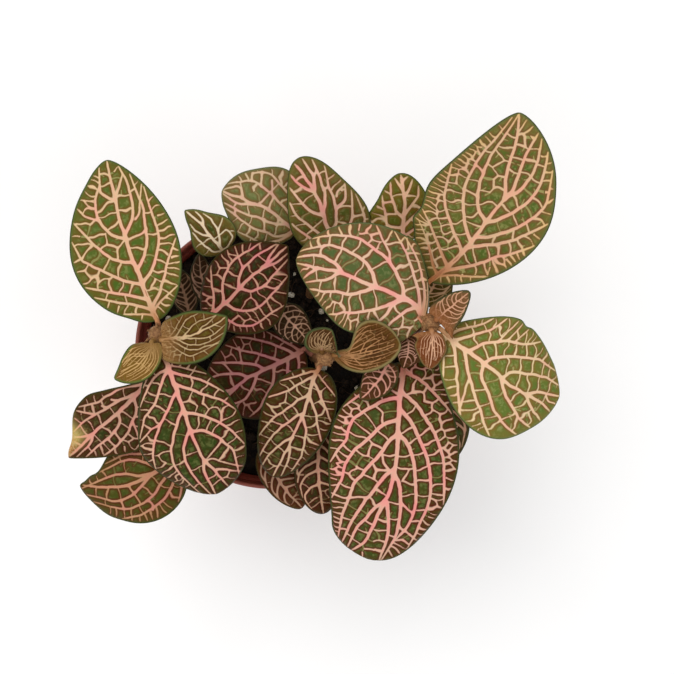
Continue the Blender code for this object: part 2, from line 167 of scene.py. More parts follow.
# ------------------------------------------------------------------ vein plans
# Points are "s,t" in hundredths: s along the midrib, t across it (100 is the
# left margin seen from the base, -100 the right one).
VEINS = {
    "leaf_right_front": dict(
        mid="2,-4 12,-7 20,-8 27,-6 35,-5 42,-3 49,0 57,0",
        main=["57,0 65,0 70,-3 74,-17 80,-27 83,-33 87,-46 92,-52", "70,-3 75,-8 81,-10 86,-15 92,-18 96,-40",
              "19,-10 20,-33 23,-46 27,-59 30,-70 35,-75 41,-75 44,-74 49,-83 53,-88",
              "30,-7 32,-25 36,-35 41,-43 45,-53 48,-60 53,-68 58,-73 62,-75 66,-76 69,-81 73,-88",
              "37,-5 40,-14 44,-20 49,-25 53,-34 57,-41 62,-48 65,-56 69,-60 74,-62 81,-73 87,-78",
              "55,-5 58,-13 62,-18 66,-24 70,-30 72,-35 77,-41 81,-48 84,-55 91,-66",
              "7,-6 9,-40 12,-62 17,-80 22,-90",
              "18,5 20,17 22,28 26,37 29,45 33,54 37,60 42,68 46,74 50,77 55,80 60,86",
              "26,0 29,12 32,19 36,27 40,35 45,45 49,50 53,56 57,60 62,66 67,70 71,72 75,72 80,76",
              "38,3 41,14 45,21 50,28 56,34 61,40 65,45 69,49 74,53 78,55 84,50",
              "56,0 59,10 64,17 69,23 75,30 80,36 85,42 89,44", "70,0 74,6 79,13 84,22 88,27 94,35",
              "6,4 8,34 11,55 15,72 20,86"],
        cross=["71,-35 72,-50 74,-62 75,-70 75,-83", "69,23 71,36 73,52", "80,36 82,52 83,66"]),
    "leaf_left_front": dict(
        mid="2,14 11,13 19,7 24,5 28,5 35,4 41,2 46,2 51,0 56,0 63,0 71,0 77,3",
        main=["77,3 81,10 85,18 88,22 93,34", "79,-2 82,-6 87,-7 91,-6 96,-5",
              "15,0 15,-25 16,-50 19,-68 24,-82", "16,0 20,-22 24,-35 29,-47 33,-57 36,-73 38,-82 43,-88",
              "31,0 34,-15 39,-27 42,-39 46,-50 50,-60 54,-68 58,-75 63,-82 67,-85",
              "43,-2 46,-12 50,-20 54,-29 58,-36 62,-44 66,-50 71,-54 76,-57 81,-58 85,-57",
              "56,-3 59,-12 63,-20 66,-26 71,-30 77,-32 82,-32 87,-32 90,-30", "6,-2 7,-40 11,-66 15,-84",
              "18,14 21,31 24,50 27,63 30,75 35,84", "26,9 29,22 32,35 35,46 39,57 42,70 45,79 50,88",
              "45,8 47,20 50,32 53,42 56,52 60,60 64,70 68,76 72,83", "57,5 58,20 61,31 65,41 68,48 72,55 75,62 78,69 83,71",
              "85,24 86,40 89,60"],
        cross=["46,-50 46,-64 48,-78 50,-85", "14,25 16,42 19,62", "77,6 77,20 79,30 82,42", "69,48 72,34 74,22"]),
    "leaf_left_rear": dict(
        mid="1,0 10,2 17,2 24,0 32,0 38,3 46,3 53,2 60,3 66,3 72,2 78,0",
        main=["77,0 84,2 92,-4 97,-6", "78,0 79,-8 83,-25 86,-40",
              "7,2 11,25 15,45 17,60 20,75", "14,3 17,20 20,37 24,57 27,72 30,86", "24,3 26,18 30,33 34,45 38,55 41,66 46,77 47,84 52,87",
              "38,6 40,22 43,34 47,43 52,53 57,64 62,74 65,82", "53,7 56,23 60,31 65,41 71,48 76,50 81,52 85,42",
              "76,5 79,25 83,40 87,40", "10,-10 15,-37 19,-45 23,-55 27,-60 31,-67 37,-80",
              "26,-10 28,-25 33,-38 38,-48 42,-57 46,-62 51,-66 56,-68 60,-68 66,-74", "35,-8 38,-20 43,-30 48,-38 52,-42 57,-47 63,-53 66,-58 71,-60 78,-66",
              "57,-8 61,-22 65,-30 70,-38 75,-43 80,-50 84,-57 89,-62"],
        cross=["4,5 7,40 9,70", "67,42 70,70 74,82", "7,-10 10,-35 12,-55", "61,-30 63,-42 67,-50", "51,-5 52,-22 52,-35 54,-44"]),
    "leaf_right_rear": dict(
        mid="1,0 5,0 15,0 25,0 35,0 45,0 52,-4 60,-12",
        main=["60,-12 68,0 75,2 80,1 87,-4 93,-3 98,-2", "60,-12 64,-20 70,-20 76,-24 82,-30 86,-45 90,-66",
              "13,10 14,30 17,50 20,70 24,82 27,92", "26,12 28,28 31,40 36,55 41,65 46,72 53,76 58,80 64,86",
              "33,8 35,20 40,30 45,38 50,45 55,50 60,54 65,55 72,58 77,60 82,60 88,55", "46,5 47,13 50,22 55,28 60,33 64,36 69,38 73,40 78,42 83,40 90,34",
              "10,-5 17,-30 24,-50 32,-58 37,-73 42,-85", "28,-3 33,-20 37,-40 42,-55 47,-68 52,-80 54,-86", "35,-2 38,-20 43,-33 47,-47 52,-58 56,-67 60,-76 64,-83 69,-84",
              "45,-2 48,-17 54,-30 58,-42 63,-52 67,-60 72,-68 78,-76 83,-86", "61,-14 63,-22 65,-30 69,-38 73,-46 77,-54 82,-62 86,-72",
              "5,4 6,40 9,66 13,84"],
        cross=["5,-10 10,-35 13,-50 19,-80 22,-90", "55,28 56,40 56,52", "69,38 71,48 72,58"]),
    "leaf_right_outer": dict(
        mid="2,-6 9,-3 20,4 30,5 38,3 48,2 52,-1 56,-5 60,-7 65,-8 70,-9 75,-12",
        main=["75,-12 79,-5 83,-1 89,0 95,0", "75,-12 82,-17 87,-23 92,-42", "75,-12 78,-25 83,-42 87,-55 89,-65",
              "6,5 7,45 13,62 16,73 19,83 20,90", "11,5 16,32 18,42 21,52 23,58 25,62 27,68 29,80 31,90",
              "23,5 26,22 28,34 31,39 34,43 37,47 42,55 46,57 53,61 59,66 64,72 69,82", "38,5 39,16 42,21 46,28 51,34 56,40 62,44 67,52 72,55 77,65 82,65 87,72",
              "54,-2 57,12 61,17 65,20 70,23 75,30 81,33 86,40 92,45",
              "10,-5 15,-17 19,-31 22,-40 26,-50 28,-60 32,-67 35,-74 37,-82", "21,0 25,-13 29,-23 32,-31 36,-38 39,-44 43,-50 46,-57 49,-62 53,-67 55,-74 58,-82 61,-88",
              "37,2 39,-13 42,-21 45,-28 50,-33 53,-39 56,-47 59,-55 64,-61 68,-69 71,-75 76,-84", "54,-4 57,-16 61,-23 65,-31 69,-39 72,-45 76,-56 79,-64 83,-74"],
        cross=["37,48 38,62 40,74 42,85", "43,57 45,68 47,80", "50,60 52,70 55,80", "5,-12 7,-40 12,-62 15,-75 19,-87", "35,-42 36,-55 38,-64 39,-78"]),
    "leaf_right_inner": dict(
        mid="1,-10 5,-18 10,-20 14,-19 18,-13 22,-9 27,-6 32,-4 38,-1 41,1 46,3 55,3 60,3 65,4 70,4 74,7 78,10 83,13 88,16 92,17",
        main=["5,-30 9,-60 14,-72 20,-80 26,-87 31,-92", "8,-25 12,-42 17,-50 22,-58 27,-66 33,-76 39,-84",
              "19,-8 21,-17 25,-27 30,-34 35,-40 40,-46 45,-49 51,-52 56,-57 63,-64 68,-66 74,-67 79,-70 85,-74",
              "40,-3 44,-12 47,-19 51,-25 55,-29 59,-32 62,-34 66,-37 70,-40 74,-42 78,-45 82,-46 87,-44",
              "65,2 68,-5 72,-10 75,-13 79,-16 82,-20 86,-20 90,-20 94,-18",
              "14,3 15,20 16,33 17,50 16,68 17,82", "24,10 23,27 23,42 25,55 25,72 26,85",
              "23,2 25,13 27,22 30,31 32,39 36,46 39,51 42,57 46,63 51,66 54,72 56,78 61,86", "41,4 44,14 47,20 50,29 54,35 57,37 63,42 67,47 70,52 73,58 78,66 83,78",
              "67,6 69,14 71,22 74,32 79,42", "83,13 85,25 88,40 90,55"],
        cross=["3,-40 7,-80 12,-90", "40,-47 42,-58 47,-66 51,-75 54,-84", "83,-46 84,-36 83,-22"]),
    "leaf_centre_front": dict(
        mid="1,-6 5,-8 11,-8 19,-6 25,-3 31,-2 36,0 42,0 47,3 52,2 58,1 64,0 70,1 75,5",
        main=["75,5 82,0 86,2 91,2 96,0", "75,8 80,22 84,30 88,35",
              "4,-10 6,-35 10,-50 14,-62 18,-74 22,-85", "11,-15 16,-30 22,-42 27,-50 32,-58 37,-70 41,-85 45,-93",
              "28,-5 33,-15 37,-25 41,-30 45,-36 51,-45 55,-54 59,-61 63,-68 68,-74 72,-80", "46,2 48,-8 52,-15 55,-20 59,-27 62,-33 66,-40 70,-46 74,-52 79,-60 83,-68 87,-74",
              "68,-3 72,-12 75,-20 78,-26 82,-34 85,-42 89,-52 92,-60",
              "18,8 21,20 25,33 29,44 34,62 39,78 44,90", "32,6 36,21 40,33 44,44 48,50 52,60 57,75 61,90", "50,7 54,20 57,30 61,36 65,41 69,48 74,57 78,65 84,70"],
        cross=["7,10 10,30 13,42 15,60 18,72", "62,-33 62,-48 63,-65"]),
    "leaf_left_low_inner": dict(
        mid="1,-8 9,-10 14,-8 19,-8 28,-8 32,-5 41,-4 49,-2 54,-1 59,-2 64,-4 69,-1 75,-4 80,-3 86,-2 93,0",
        main=["9,-5 12,10 17,24 20,44 22,58 25,73 29,83", "20,-5 24,7 26,20 29,32 33,40 37,45 41,52 45,56 50,60 53,61 57,60 62,62 67,63 73,70",
              "39,-2 41,8 45,17 49,24 53,29 58,30 63,33 67,35 71,40 76,42 81,44 86,50", "74,0 77,10 82,18 86,26",
              "8,-25 11,-35 14,-45 15,-60 17,-70 20,-74 23,-78 27,-79 32,-78 36,-77 41,-77 45,-78 51,-84",
              "22,-12 23,-25 25,-34 28,-41 31,-47 35,-50 39,-53 43,-55 47,-56 52,-56 57,-57 61,-59 65,-61 71,-68",
              "40,-6 43,-17 46,-25 51,-28 54,-31 58,-34 63,-35 68,-35 72,-36 78,-42", "68,-6 74,-10 77,-18 81,-22 87,-30"],
        cross=["53,29 54,42 55,52", "58,-34 60,-46 63,-55 66,-60"]),
    "leaf_rear_middle": dict(
        mid="1,0 10,1 20,2 26,3 32,5 38,4 45,3 52,2 58,3 64,4 70,6 76,10 82,14 88,20 94,30",
        main=["25,0 25,-8 28,-18 34,-24 42,-29 49,-35 56,-37 62,-40 68,-48", "43,0 46,-4 51,-12 57,-20 64,-25 69,-28 75,-35 79,-42 85,-52",
              "66,2 70,-8 75,-15 78,-20 83,-22 87,-25 93,-30", "42,-32 44,-52 48,-64 53,-72", "12,-12 17,-36 22,-45 26,-53 31,-60 38,-66 44,-74",
              "6,-6 9,-50 14,-72 20,-84 27,-86 33,-84", "13,30 18,54 27,72 34,84 41,92", "10,8 20,24 30,42 36,53 43,68 50,78 57,84 63,90",
              "40,6 43,22 47,33 53,44 59,52 64,60 70,72 76,82", "65,6 68,20 73,35 78,48 82,60 87,70", "4,5 6,40 10,64"],
        cross=["62,-22 62,-38", "78,-20 79,-30 80,-40", "30,-60 29,-74 28,-84", "51,-44 55,-52 56,-62"]),
    "leaf_rear_left": dict(
        mid="2,4 8,4 15,3 25,0 35,-3 45,-4 53,0 60,3 66,2 72,0 78,3 84,5 90,3 96,0",
        main=["6,-6 12,-20 20,-26 30,-28 36,-30 42,-37 49,-38 56,-42 63,-50 70,-53 78,-50 85,-50", "10,-20 16,-46 24,-58 33,-58 39,-62 45,-67 51,-75 57,-78 64,-77 72,-76",
              "71,0 74,-15 77,-28 83,-33 90,-28", "15,4 18,12 25,22 33,24 40,25 47,27 53,34 60,38 68,42 74,45 82,52",
              "55,0 63,13 70,20 80,25 87,25", "6,20 10,50 16,55 21,53 27,50 35,55 44,57 53,57 63,60 70,60 78,66", "4,10 6,52 12,74 20,84 28,86 38,82"],
        cross=["63,-78 60,-60 57,-43", "49,-63 46,-50 43,-37", "50,-6 48,-14 46,-30", "37,22 34,36 30,50", "74,45 73,54 71,60",
               "38,-3 39,-16 40,-33", "24,2 22,12 22,22", "70,-53 71,-66 72,-76"]),
    "leaf_front_left": dict(
        mid="2,0 10,0 20,-2 30,0 38,5 47,7 57,12 64,12 70,10 76,10 82,8 90,4",
        main=["30,0 40,-2 47,-4 52,-12 60,-20 68,-23 77,-20 85,-12", "37,6 45,20 52,30 58,37 66,45 73,50 80,48 87,52",
              "16,4 20,20 27,27 32,35 37,46 45,53 52,58 60,65 67,68 76,68", "8,6 14,40 20,50 25,60 32,66 42,70 50,78 57,82 65,88",
              "12,-6 18,-30 26,-44 36,-54 48,-60 57,-68 66,-65", "24,-4 31,-22 39,-36 46,-46 54,-52 64,-52 73,-50", "5,-6 8,-44 14,-62 22,-74 32,-82 42,-86", "4,10 6,54 10,76 16,88"],
        cross=["43,53 40,62 42,75", "57,12 55,22 53,30", "66,45 66,56 66,68"]),
    "leaf_left_low_outer": dict(
        mid="1,4 7,5 15,5 24,3 31,4 38,5 45,4 52,4 60,2 66,0 73,-2 78,-2 85,-1 90,0 96,0",
        main=["27,0 33,-15 38,-25 43,-28 50,-33 56,-32 63,-37 68,-42 76,-50 81,-54", "12,-6 20,-54 30,-90 35,-85 42,-75 48,-72 53,-70 57,-65 62,-72 66,-80",
              "78,-2 83,-20 87,-40", "77,0 80,13 83,20 88,28", "31,5 33,18 38,30 44,35 50,40 56,50 62,55 68,62 73,70 79,80",
              "51,5 53,17 57,25 63,30 70,35 76,38 82,45 86,55", "14,6 17,24 22,40 28,54 35,64 42,72 50,80 57,86", "7,10 9,40 13,60 18,76 25,88"],
        cross=["47,-50 43,-30", "57,-50 54,-32", "66,-45 74,-85", "47,40 50,55 52,65", "63,30 64,42 65,58", "70,36 71,50 71,64"]),
    "leaf_centre_low_left": dict(
        mid="2,2 8,2 15,1 21,2 28,0 37,1 43,-2 48,2 53,3 59,0 63,6 68,10 73,15 80,20",
        main=["27,-5 33,-20 37,-30 43,-40 48,-47 54,-58 60,-70", "44,-5 47,-15 53,-25 58,-32 63,-38 70,-50 76,-60 82,-78", "60,0 64,-10 70,-20 78,-30 84,-40 92,-55",
              "12,-6 16,-30 25,-54 33,-66 42,-78 50,-86", "34,5 37,22 41,35 45,42 50,50 55,62 60,75 66,84", "52,5 54,15 58,25 63,35 66,43 70,50 75,55 82,62",
              "72,14 77,25 80,35 85,42", "20,6 23,26 28,44 34,60 41,74 48,84", "8,8 11,36 16,60 22,76", "5,-6 8,-40 13,-62 19,-78", "84,18 90,8 95,0"],
        cross=["57,-70 58,-52 60,-35", "76,-60 73,-40 71,-22"]),
    "leaf_left_young_inner": dict(
        mid="2,4 12,7 20,7 30,3 38,2 46,0 50,-2 58,0 67,3 74,3 80,0 88,0 96,0",
        main=["30,-2 38,-6 45,-10 52,-17 60,-27 68,-35 76,-40 83,-45", "24,-5 28,-7 34,-22 39,-30 45,-35 52,-42 57,-47 64,-50 71,-55", "18,-10 22,-15 30,-33 35,-45 42,-50 47,-57 53,-57 58,-58 64,-66",
              "12,-12 18,-34 26,-48 31,-60 36,-70 42,-72 47,-70", "33,3 35,7 41,17 47,30 53,37 60,45 68,50 77,50", "16,6 22,10 27,25 34,42 42,60 50,75 60,77", "10,8 16,26 23,38 28,55 34,68",
              "56,0 57,3 63,18 71,22 78,30"],
        cross=[]),
    "leaf_rear_small": dict(
        mid="1,0 5,0 15,-2 25,2 36,3 47,2 57,-5 65,-3 75,0 85,0 92,0",
        main=["13,-3 15,-8 22,-17 28,-25 34,-35 38,-37 44,-42 50,-45 56,-52 62,-56", "3,-10 8,-60 12,-76 16,-70 23,-65 28,-62 27,-45", "57,-6 58,-10 62,-22 65,-30 69,-35 75,-40",
              "3,10 7,40 12,45 18,45 25,50 32,53 40,57 48,60 53,62 60,66", "37,4 38,10 43,23 48,35 55,42 62,50 68,55"],
        cross=["34,-35 36,-45 38,-55"]),
    "leaf_rear_right": dict(
        mid="2,0 12,-2 22,-3 30,-2 38,-5 45,-6 54,-10 62,-12 70,-12 78,-8 87,-10 95,-8",
        main=["42,-2 46,8 51,18 59,25 63,30 70,40 78,52 85,65", "28,0 30,42 38,45 46,48 52,53 58,62 65,70", "45,-8 53,-25 57,-37 63,-50 69,-67 75,-74", "70,-12 77,-33 82,-45 87,-60",
              "90,-14 93,-40", "30,-4 33,-20 40,-35 46,-52 52,-68", "14,0 16,30 20,56 27,72 35,82", "16,-4 20,-36 26,-60 34,-78", "80,-4 84,10 89,26"],
        cross=["30,75 29,58 30,42", "46,46 47,32 47,18", "63,60 63,46 63,33"]),
    "leaf_centre_young_right": dict(
        mid="2,0 12,-3 24,-4 36,-2 48,0 60,2 72,2 84,0 92,0",
        main=["5,6 12,28 22,46 34,58 46,64 58,68 68,72", "8,5 16,20 27,34 39,42 51,48 63,52 74,56", "13,4 23,14 34,22 46,28 58,33 70,38 80,42", "26,2 38,9 50,14 62,18 74,23 85,26",
              "3,8 7,40 15,62 26,74 38,80 50,84", "6,-6 14,-28 26,-48 40,-60 54,-68 66,-72", "14,-5 26,-22 40,-34 54,-44 68,-52 78,-56", "30,-4 44,-14 58,-22 72,-28 84,-32"],
        cross=[]),
}

# Small outline corrections: (side, s, spread, share of the width).  Side 1 is
# left of the midrib, -1 right of it.
TRIMS = {
    "leaf_right_inner": [(1, 0.13, 0.10, 0.42), (-1, 0.30, 0.08, 0.10)],
    "leaf_centre_young_right": [(1, 0.22, 0.16, -0.55), (-1, 0.25, 0.25, 0.12)],
    "leaf_centre_young_left": [(-1, 0.45, 0.4, 0.42), (1, 0.5, 0.4, 0.1)],
    "leaf_left_front": [(1, 0.92, 0.08, 0.08), (-1, 0.6, 0.12, 0.05)],
    "leaf_right_front": [(-1, 0.95, 0.06, 0.10), (1, 0.03, 0.12, 0.35)],
    "leaf_right_bud_right": [(1, 0.5, 0.5, 1.0), (-1, 0.5, 0.4, 0.15)],
    "leaf_right_young_front": [(-1, 0.4, 0.4, 0.35), (1, 0.4, 0.4, 0.15)],
    "leaf_left_rear": [(1, 0.9, 0.08, -0.06), (1, 0.06, 0.05, -0.10)],
    "leaf_right_outer": [(1, 0.55, 0.055, -0.05), (1, 0.95, 0.05, 0.08), (-1, 0.88, 0.08, -0.05)],
    "leaf_right_rear": [(1, 0.7, 0.18, -0.03), (-1, 0.7, 0.1, -0.03), (1, 0.16, 0.1, 0.34), (1, 0.07, 0.05, 0.45)],
    "leaf_rear_small": [(1, 0.7, 0.2, -0.20), (-1, 0.7, 0.22, -0.22)],
    "leaf_front_left": [(-1, 0.85, 0.1, -0.45), (-1, 0.97, 0.05, -0.4), (1, 0.85, 0.1, 0.12)],
    "leaf_left_low_outer": [(-1, 0.93, 0.09, -0.45), (-1, 0.6, 0.08, 0.06)],
    "leaf_rear_middle": [(-1, 0.65, 0.25, -0.12)],
    "leaf_rear_left": [(-1, 0.72, 0.2, -0.10), (1, 0.95, 0.06, 0.1)],
    "leaf_rear_right": [(1, 0.68, 0.15, -0.09)],
    "leaf_right_low_rear": [(-1, 0.25, 0.3, 0.5)],
}


# ------------------------------------------------------------------ leaf surface
def lerp(a, b, f):
    return a + (b - a) * f


def unit(v):
    return v / np.maximum(np.linalg.norm(v, axis=-1, keepdims=True), 1e-12)


def three(a, m, b, s):
    """Parabola through a, m and b at s = 0, 0.5 and 1."""
    s = np.asarray(s, float)[..., None]
    a, m, b = (np.array(v, float) for v in (a, m, b))
    return a * (2 * (s - 0.5) * (s - 1)) + m * (4 * s * (1 - s)) + b * (2 * s * (s - 0.5))


def three_slope(a, m, b, s):
    s = np.asarray(s, float)[..., None]
    a, m, b = (np.array(v, float) for v in (a, m, b))
    return a * (4 * s - 3) + m * (4 - 8 * s) + b * (4 * s - 1)


def width(spec, s, side):
    s = np.clip(s, 0.0, 1.0)
    i = 0 if side > 0 else 1
    power = math.log(0.5) / math.log(spec["m"][i])
    crest = np.maximum(np.sin(math.pi * s ** power), 0.0)
    w = spec["w"][i] * crest ** lerp(spec["q"][0], spec["q"][1 + i], s)
    w = w + 0.25 + (spec.get("foot", PETIOLE_W) - 0.25) * (1 - s) ** 6
    if spec.get("lobe", (0, 0))[0] == (1 if side > 0 else -1):
        w = w + spec["lobe"][1] * (1 - s) ** 14
    return w


def trimmed(name, s, side):
    k = np.ones_like(np.asarray(s, float))
    for sd, at, spread, share in TRIMS.get(name, ()):
        if sd == side:
            k = k + share * np.exp(-((s - at) / spread) ** 2)
    return k


def blade_frame(spec, s):
    centre = three(spec["base"], spec["mid"], spec["tip"], s)
    along = unit(three_slope(spec["base"], spec["mid"], spec["tip"], s))
    up0 = np.zeros_like(along)
    up0[..., 2] = 1
    across = unit(np.cross(up0, along))
    return centre, along, across, np.cross(along, across)


def blade(spec, s, t):
    """Points of the blade's middle surface and its normals, for arrays s and t."""
    centre, _along, across, up = blade_frame(spec, s)
    w = np.where(t >= 0, width(spec, s, 1), width(spec, s, -1))
    k = lerp(spec["cup"][0], spec["cup"][1], s)
    k = np.where(np.abs(k) < 1e-4, 1e-4, k)
    out = w * np.sin(t * k) / k
    rise = w * (1 - np.cos(t * k)) / k
    rise = rise + (spec["wave"] * t * t * np.sqrt(np.maximum(np.sin(math.pi * np.clip(s, 0, 1)), 0))
                   * np.sin(2 * math.pi * (spec["turns"] * s + spec["phase"] + np.where(t > 0, 0, 0.37))))
    p = centre + across * out[..., None] + up * rise[..., None]
    n = up * np.cos(t * k)[..., None] - across * np.sin(t * k)[..., None]
    return p, n


def stem_at(name, z):
    pts = STEMS[name]
    for a, b in zip(pts, pts[1:]):
        if z <= b[2] or b is pts[-1]:
            f = min(max((z - a[2]) / (b[2] - a[2]), 0.0), 1.0)
            p = Vector(a).lerp(Vector(b), f)
            break
    f = (p.z - pts[0][2]) / (pts[-1][2] - pts[0][2])
    return p, lerp(STEM_R0, STEM_R1, f)


def stalk_path(spec, n=12):
    """Middle line of the leaf stalk, from inside the stem to the blade."""
    base, mid, tip = (Vector(spec[k]) for k in ("base", "mid", "tip"))
    axis, r = stem_at(*spec["at"])
    away = base - axis
    away.z *= 0.35
    away.normalize()
    start = axis + away * (r + GAP + 0.5)
    along0 = Vector(three_slope(base, mid, tip, 0.0)).normalized()
    reach = (base - start).length
    c1 = start + away * reach * 0.35
    c2 = base - along0 * reach * 0.35
    out = [axis + away * (r * 0.3)]
    for i in range(n + 1):
        u = i / n
        v = 1 - u
        out.append(start * v ** 3 + c1 * (3 * v * v * u) + c2 * (3 * v * u * u) + base * u ** 3)
    return [np.array(p, float) for p in out]


# ------------------------------------------------------------------ mesh helpers
def mesh_object(name, verts, faces, attributes=None, smooth=True):
    """verts (n, 3) in millimetres; faces a list of int arrays, each (k, corners)."""
    mesh = bpy.data.meshes.new(name)
    verts = np.asarray(verts, np.float32) * MM
    mesh.vertices.add(len(verts))
    mesh.vertices.foreach_set("co", verts.ravel())
    loops, starts, totals, at = [], [], [], 0
    for f in faces:
        f = np.asarray(f, np.int32)
        if not len(f):
            continue
        k = f.shape[1]
        loops.append(f.ravel())
        starts.append(at + np.arange(len(f), dtype=np.int32) * k)
        totals.append(np.full(len(f), k, np.int32))
        at += f.size
    loops = np.concatenate(loops)
    mesh.loops.add(len(loops))
    mesh.loops.foreach_set("vertex_index", loops)
    starts = np.concatenate(starts)
    mesh.polygons.add(len(starts))
    mesh.polygons.foreach_set("loop_start", starts)
    mesh.polygons.foreach_set("loop_total", np.concatenate(totals))
    mesh.update(calc_edges=True)
    mesh.validate()
    mesh.polygons.foreach_set("use_smooth", np.full(len(mesh.polygons), smooth, bool))
    for key, values in (attributes or {}).items():
        a = mesh.attributes.new(key, "FLOAT", "POINT")
        a.data.foreach_set("value", np.asarray(values, np.float32))
    obj = bpy.data.objects.new(name, mesh)
    COLLECTION.objects.link(obj)
    return obj


def spline(points, steps):
    """Catmull-Rom through the points."""
    p = np.asarray(points, float)
    if len(p) < 3:
        return p
    ext = np.vstack([2 * p[0] - p[1], p, 2 * p[-1] - p[-2]])
    out = []
    for i in range(len(p) - 1):
        a, b, c, d = ext[i:i + 4]
        for k in range(steps):
            f = k / steps
            out.append(0.5 * (2 * b + (c - a) * f + (2 * a - 5 * b + 4 * c - d) * f * f + (3 * b - a - 3 * c + d) * f ** 3))
    out.append(p[-1])
    return np.array(out)


def eased_line(points, steps):
    """A cubic B-spline near the points, through the first and the last."""
    p = np.asarray(points, float)
    if len(p) < 3:
        return spline(p, steps)
    p = np.vstack([2 * p[0] - p[1], p, 2 * p[-1] - p[-2]])
    out = []
    for i in range(len(p) - 3):
        a, b, c, d = p[i:i + 4]
        for k in range(steps):
            f = k / steps
            out.append(((1 - f) ** 3 * a + (3 * f ** 3 - 6 * f * f + 4) * b + (-3 * f ** 3 + 3 * f * f + 3 * f + 1) * c + f ** 3 * d) / 6)
    out.append(p[-2])
    return np.array(out)


def tube(path, radii, sides, cap=True, twist=0.0):
    """Vertices and faces of a tube along path; returns verts, quads, tris, ring share."""
    path = np.asarray(path, float)
    radii = np.asarray(radii, float)
    n = len(path)
    tangent = unit(np.gradient(path, axis=0))
    ref = np.array([0.0, 0.0, 1.0]) if abs(tangent[0][2]) < 0.8 else np.array([1.0, 0.0, 0.0])
    side = unit(np.cross(tangent[0], ref))
    verts = []
    ang = np.arange(sides) * 2 * math.pi / sides
    for i in range(n):
        side = unit(side - tangent[i] * side.dot(tangent[i]))
        other = np.cross(tangent[i], side)
        a = ang + twist * i
        verts.append(path[i] + radii[i] * (np.cos(a)[:, None] * side + np.sin(a)[:, None] * other))
    verts = np.concatenate(verts)
    i = np.arange(n - 1)[:, None] * sides
    j = np.arange(sides)[None, :]
    a, b = i + j, i + (j + 1) % sides
    quads = np.stack([a, b, b + sides, a + sides], -1).reshape(-1, 4)
    tris = np.zeros((0, 3), int)
    if cap:
        verts = np.vstack([verts, path[0], path[-1]])
        c0, c1 = len(verts) - 2, len(verts) - 1
        j = np.arange(sides)
        last = (n - 1) * sides
        tris = np.vstack([np.stack([np.full(sides, c0), (j + 1) % sides, j], -1),
                          np.stack([np.full(sides, c1), last + j, last + (j + 1) % sides], -1)])
    share = np.concatenate([np.repeat(np.linspace(0, 1, n), sides), [0.0, 1.0] if cap else []])
    return verts, quads, tris, share


def waves(rng, count, low, high):
    """A smooth random field of x, y: a sum of sine waves, about -1 to 1."""
    parts = []
    for _ in range(count):
        a = rng.uniform(0, 2 * math.pi)
        k = 2 * math.pi / rng.uniform(low, high)
        parts.append((math.cos(a) * k, math.sin(a) * k, rng.uniform(0, 2 * math.pi)))

    def field(x, y):
        return sum(np.sin(x * a + y * b + c) for a, b, c in parts) / math.sqrt(count)
    return field


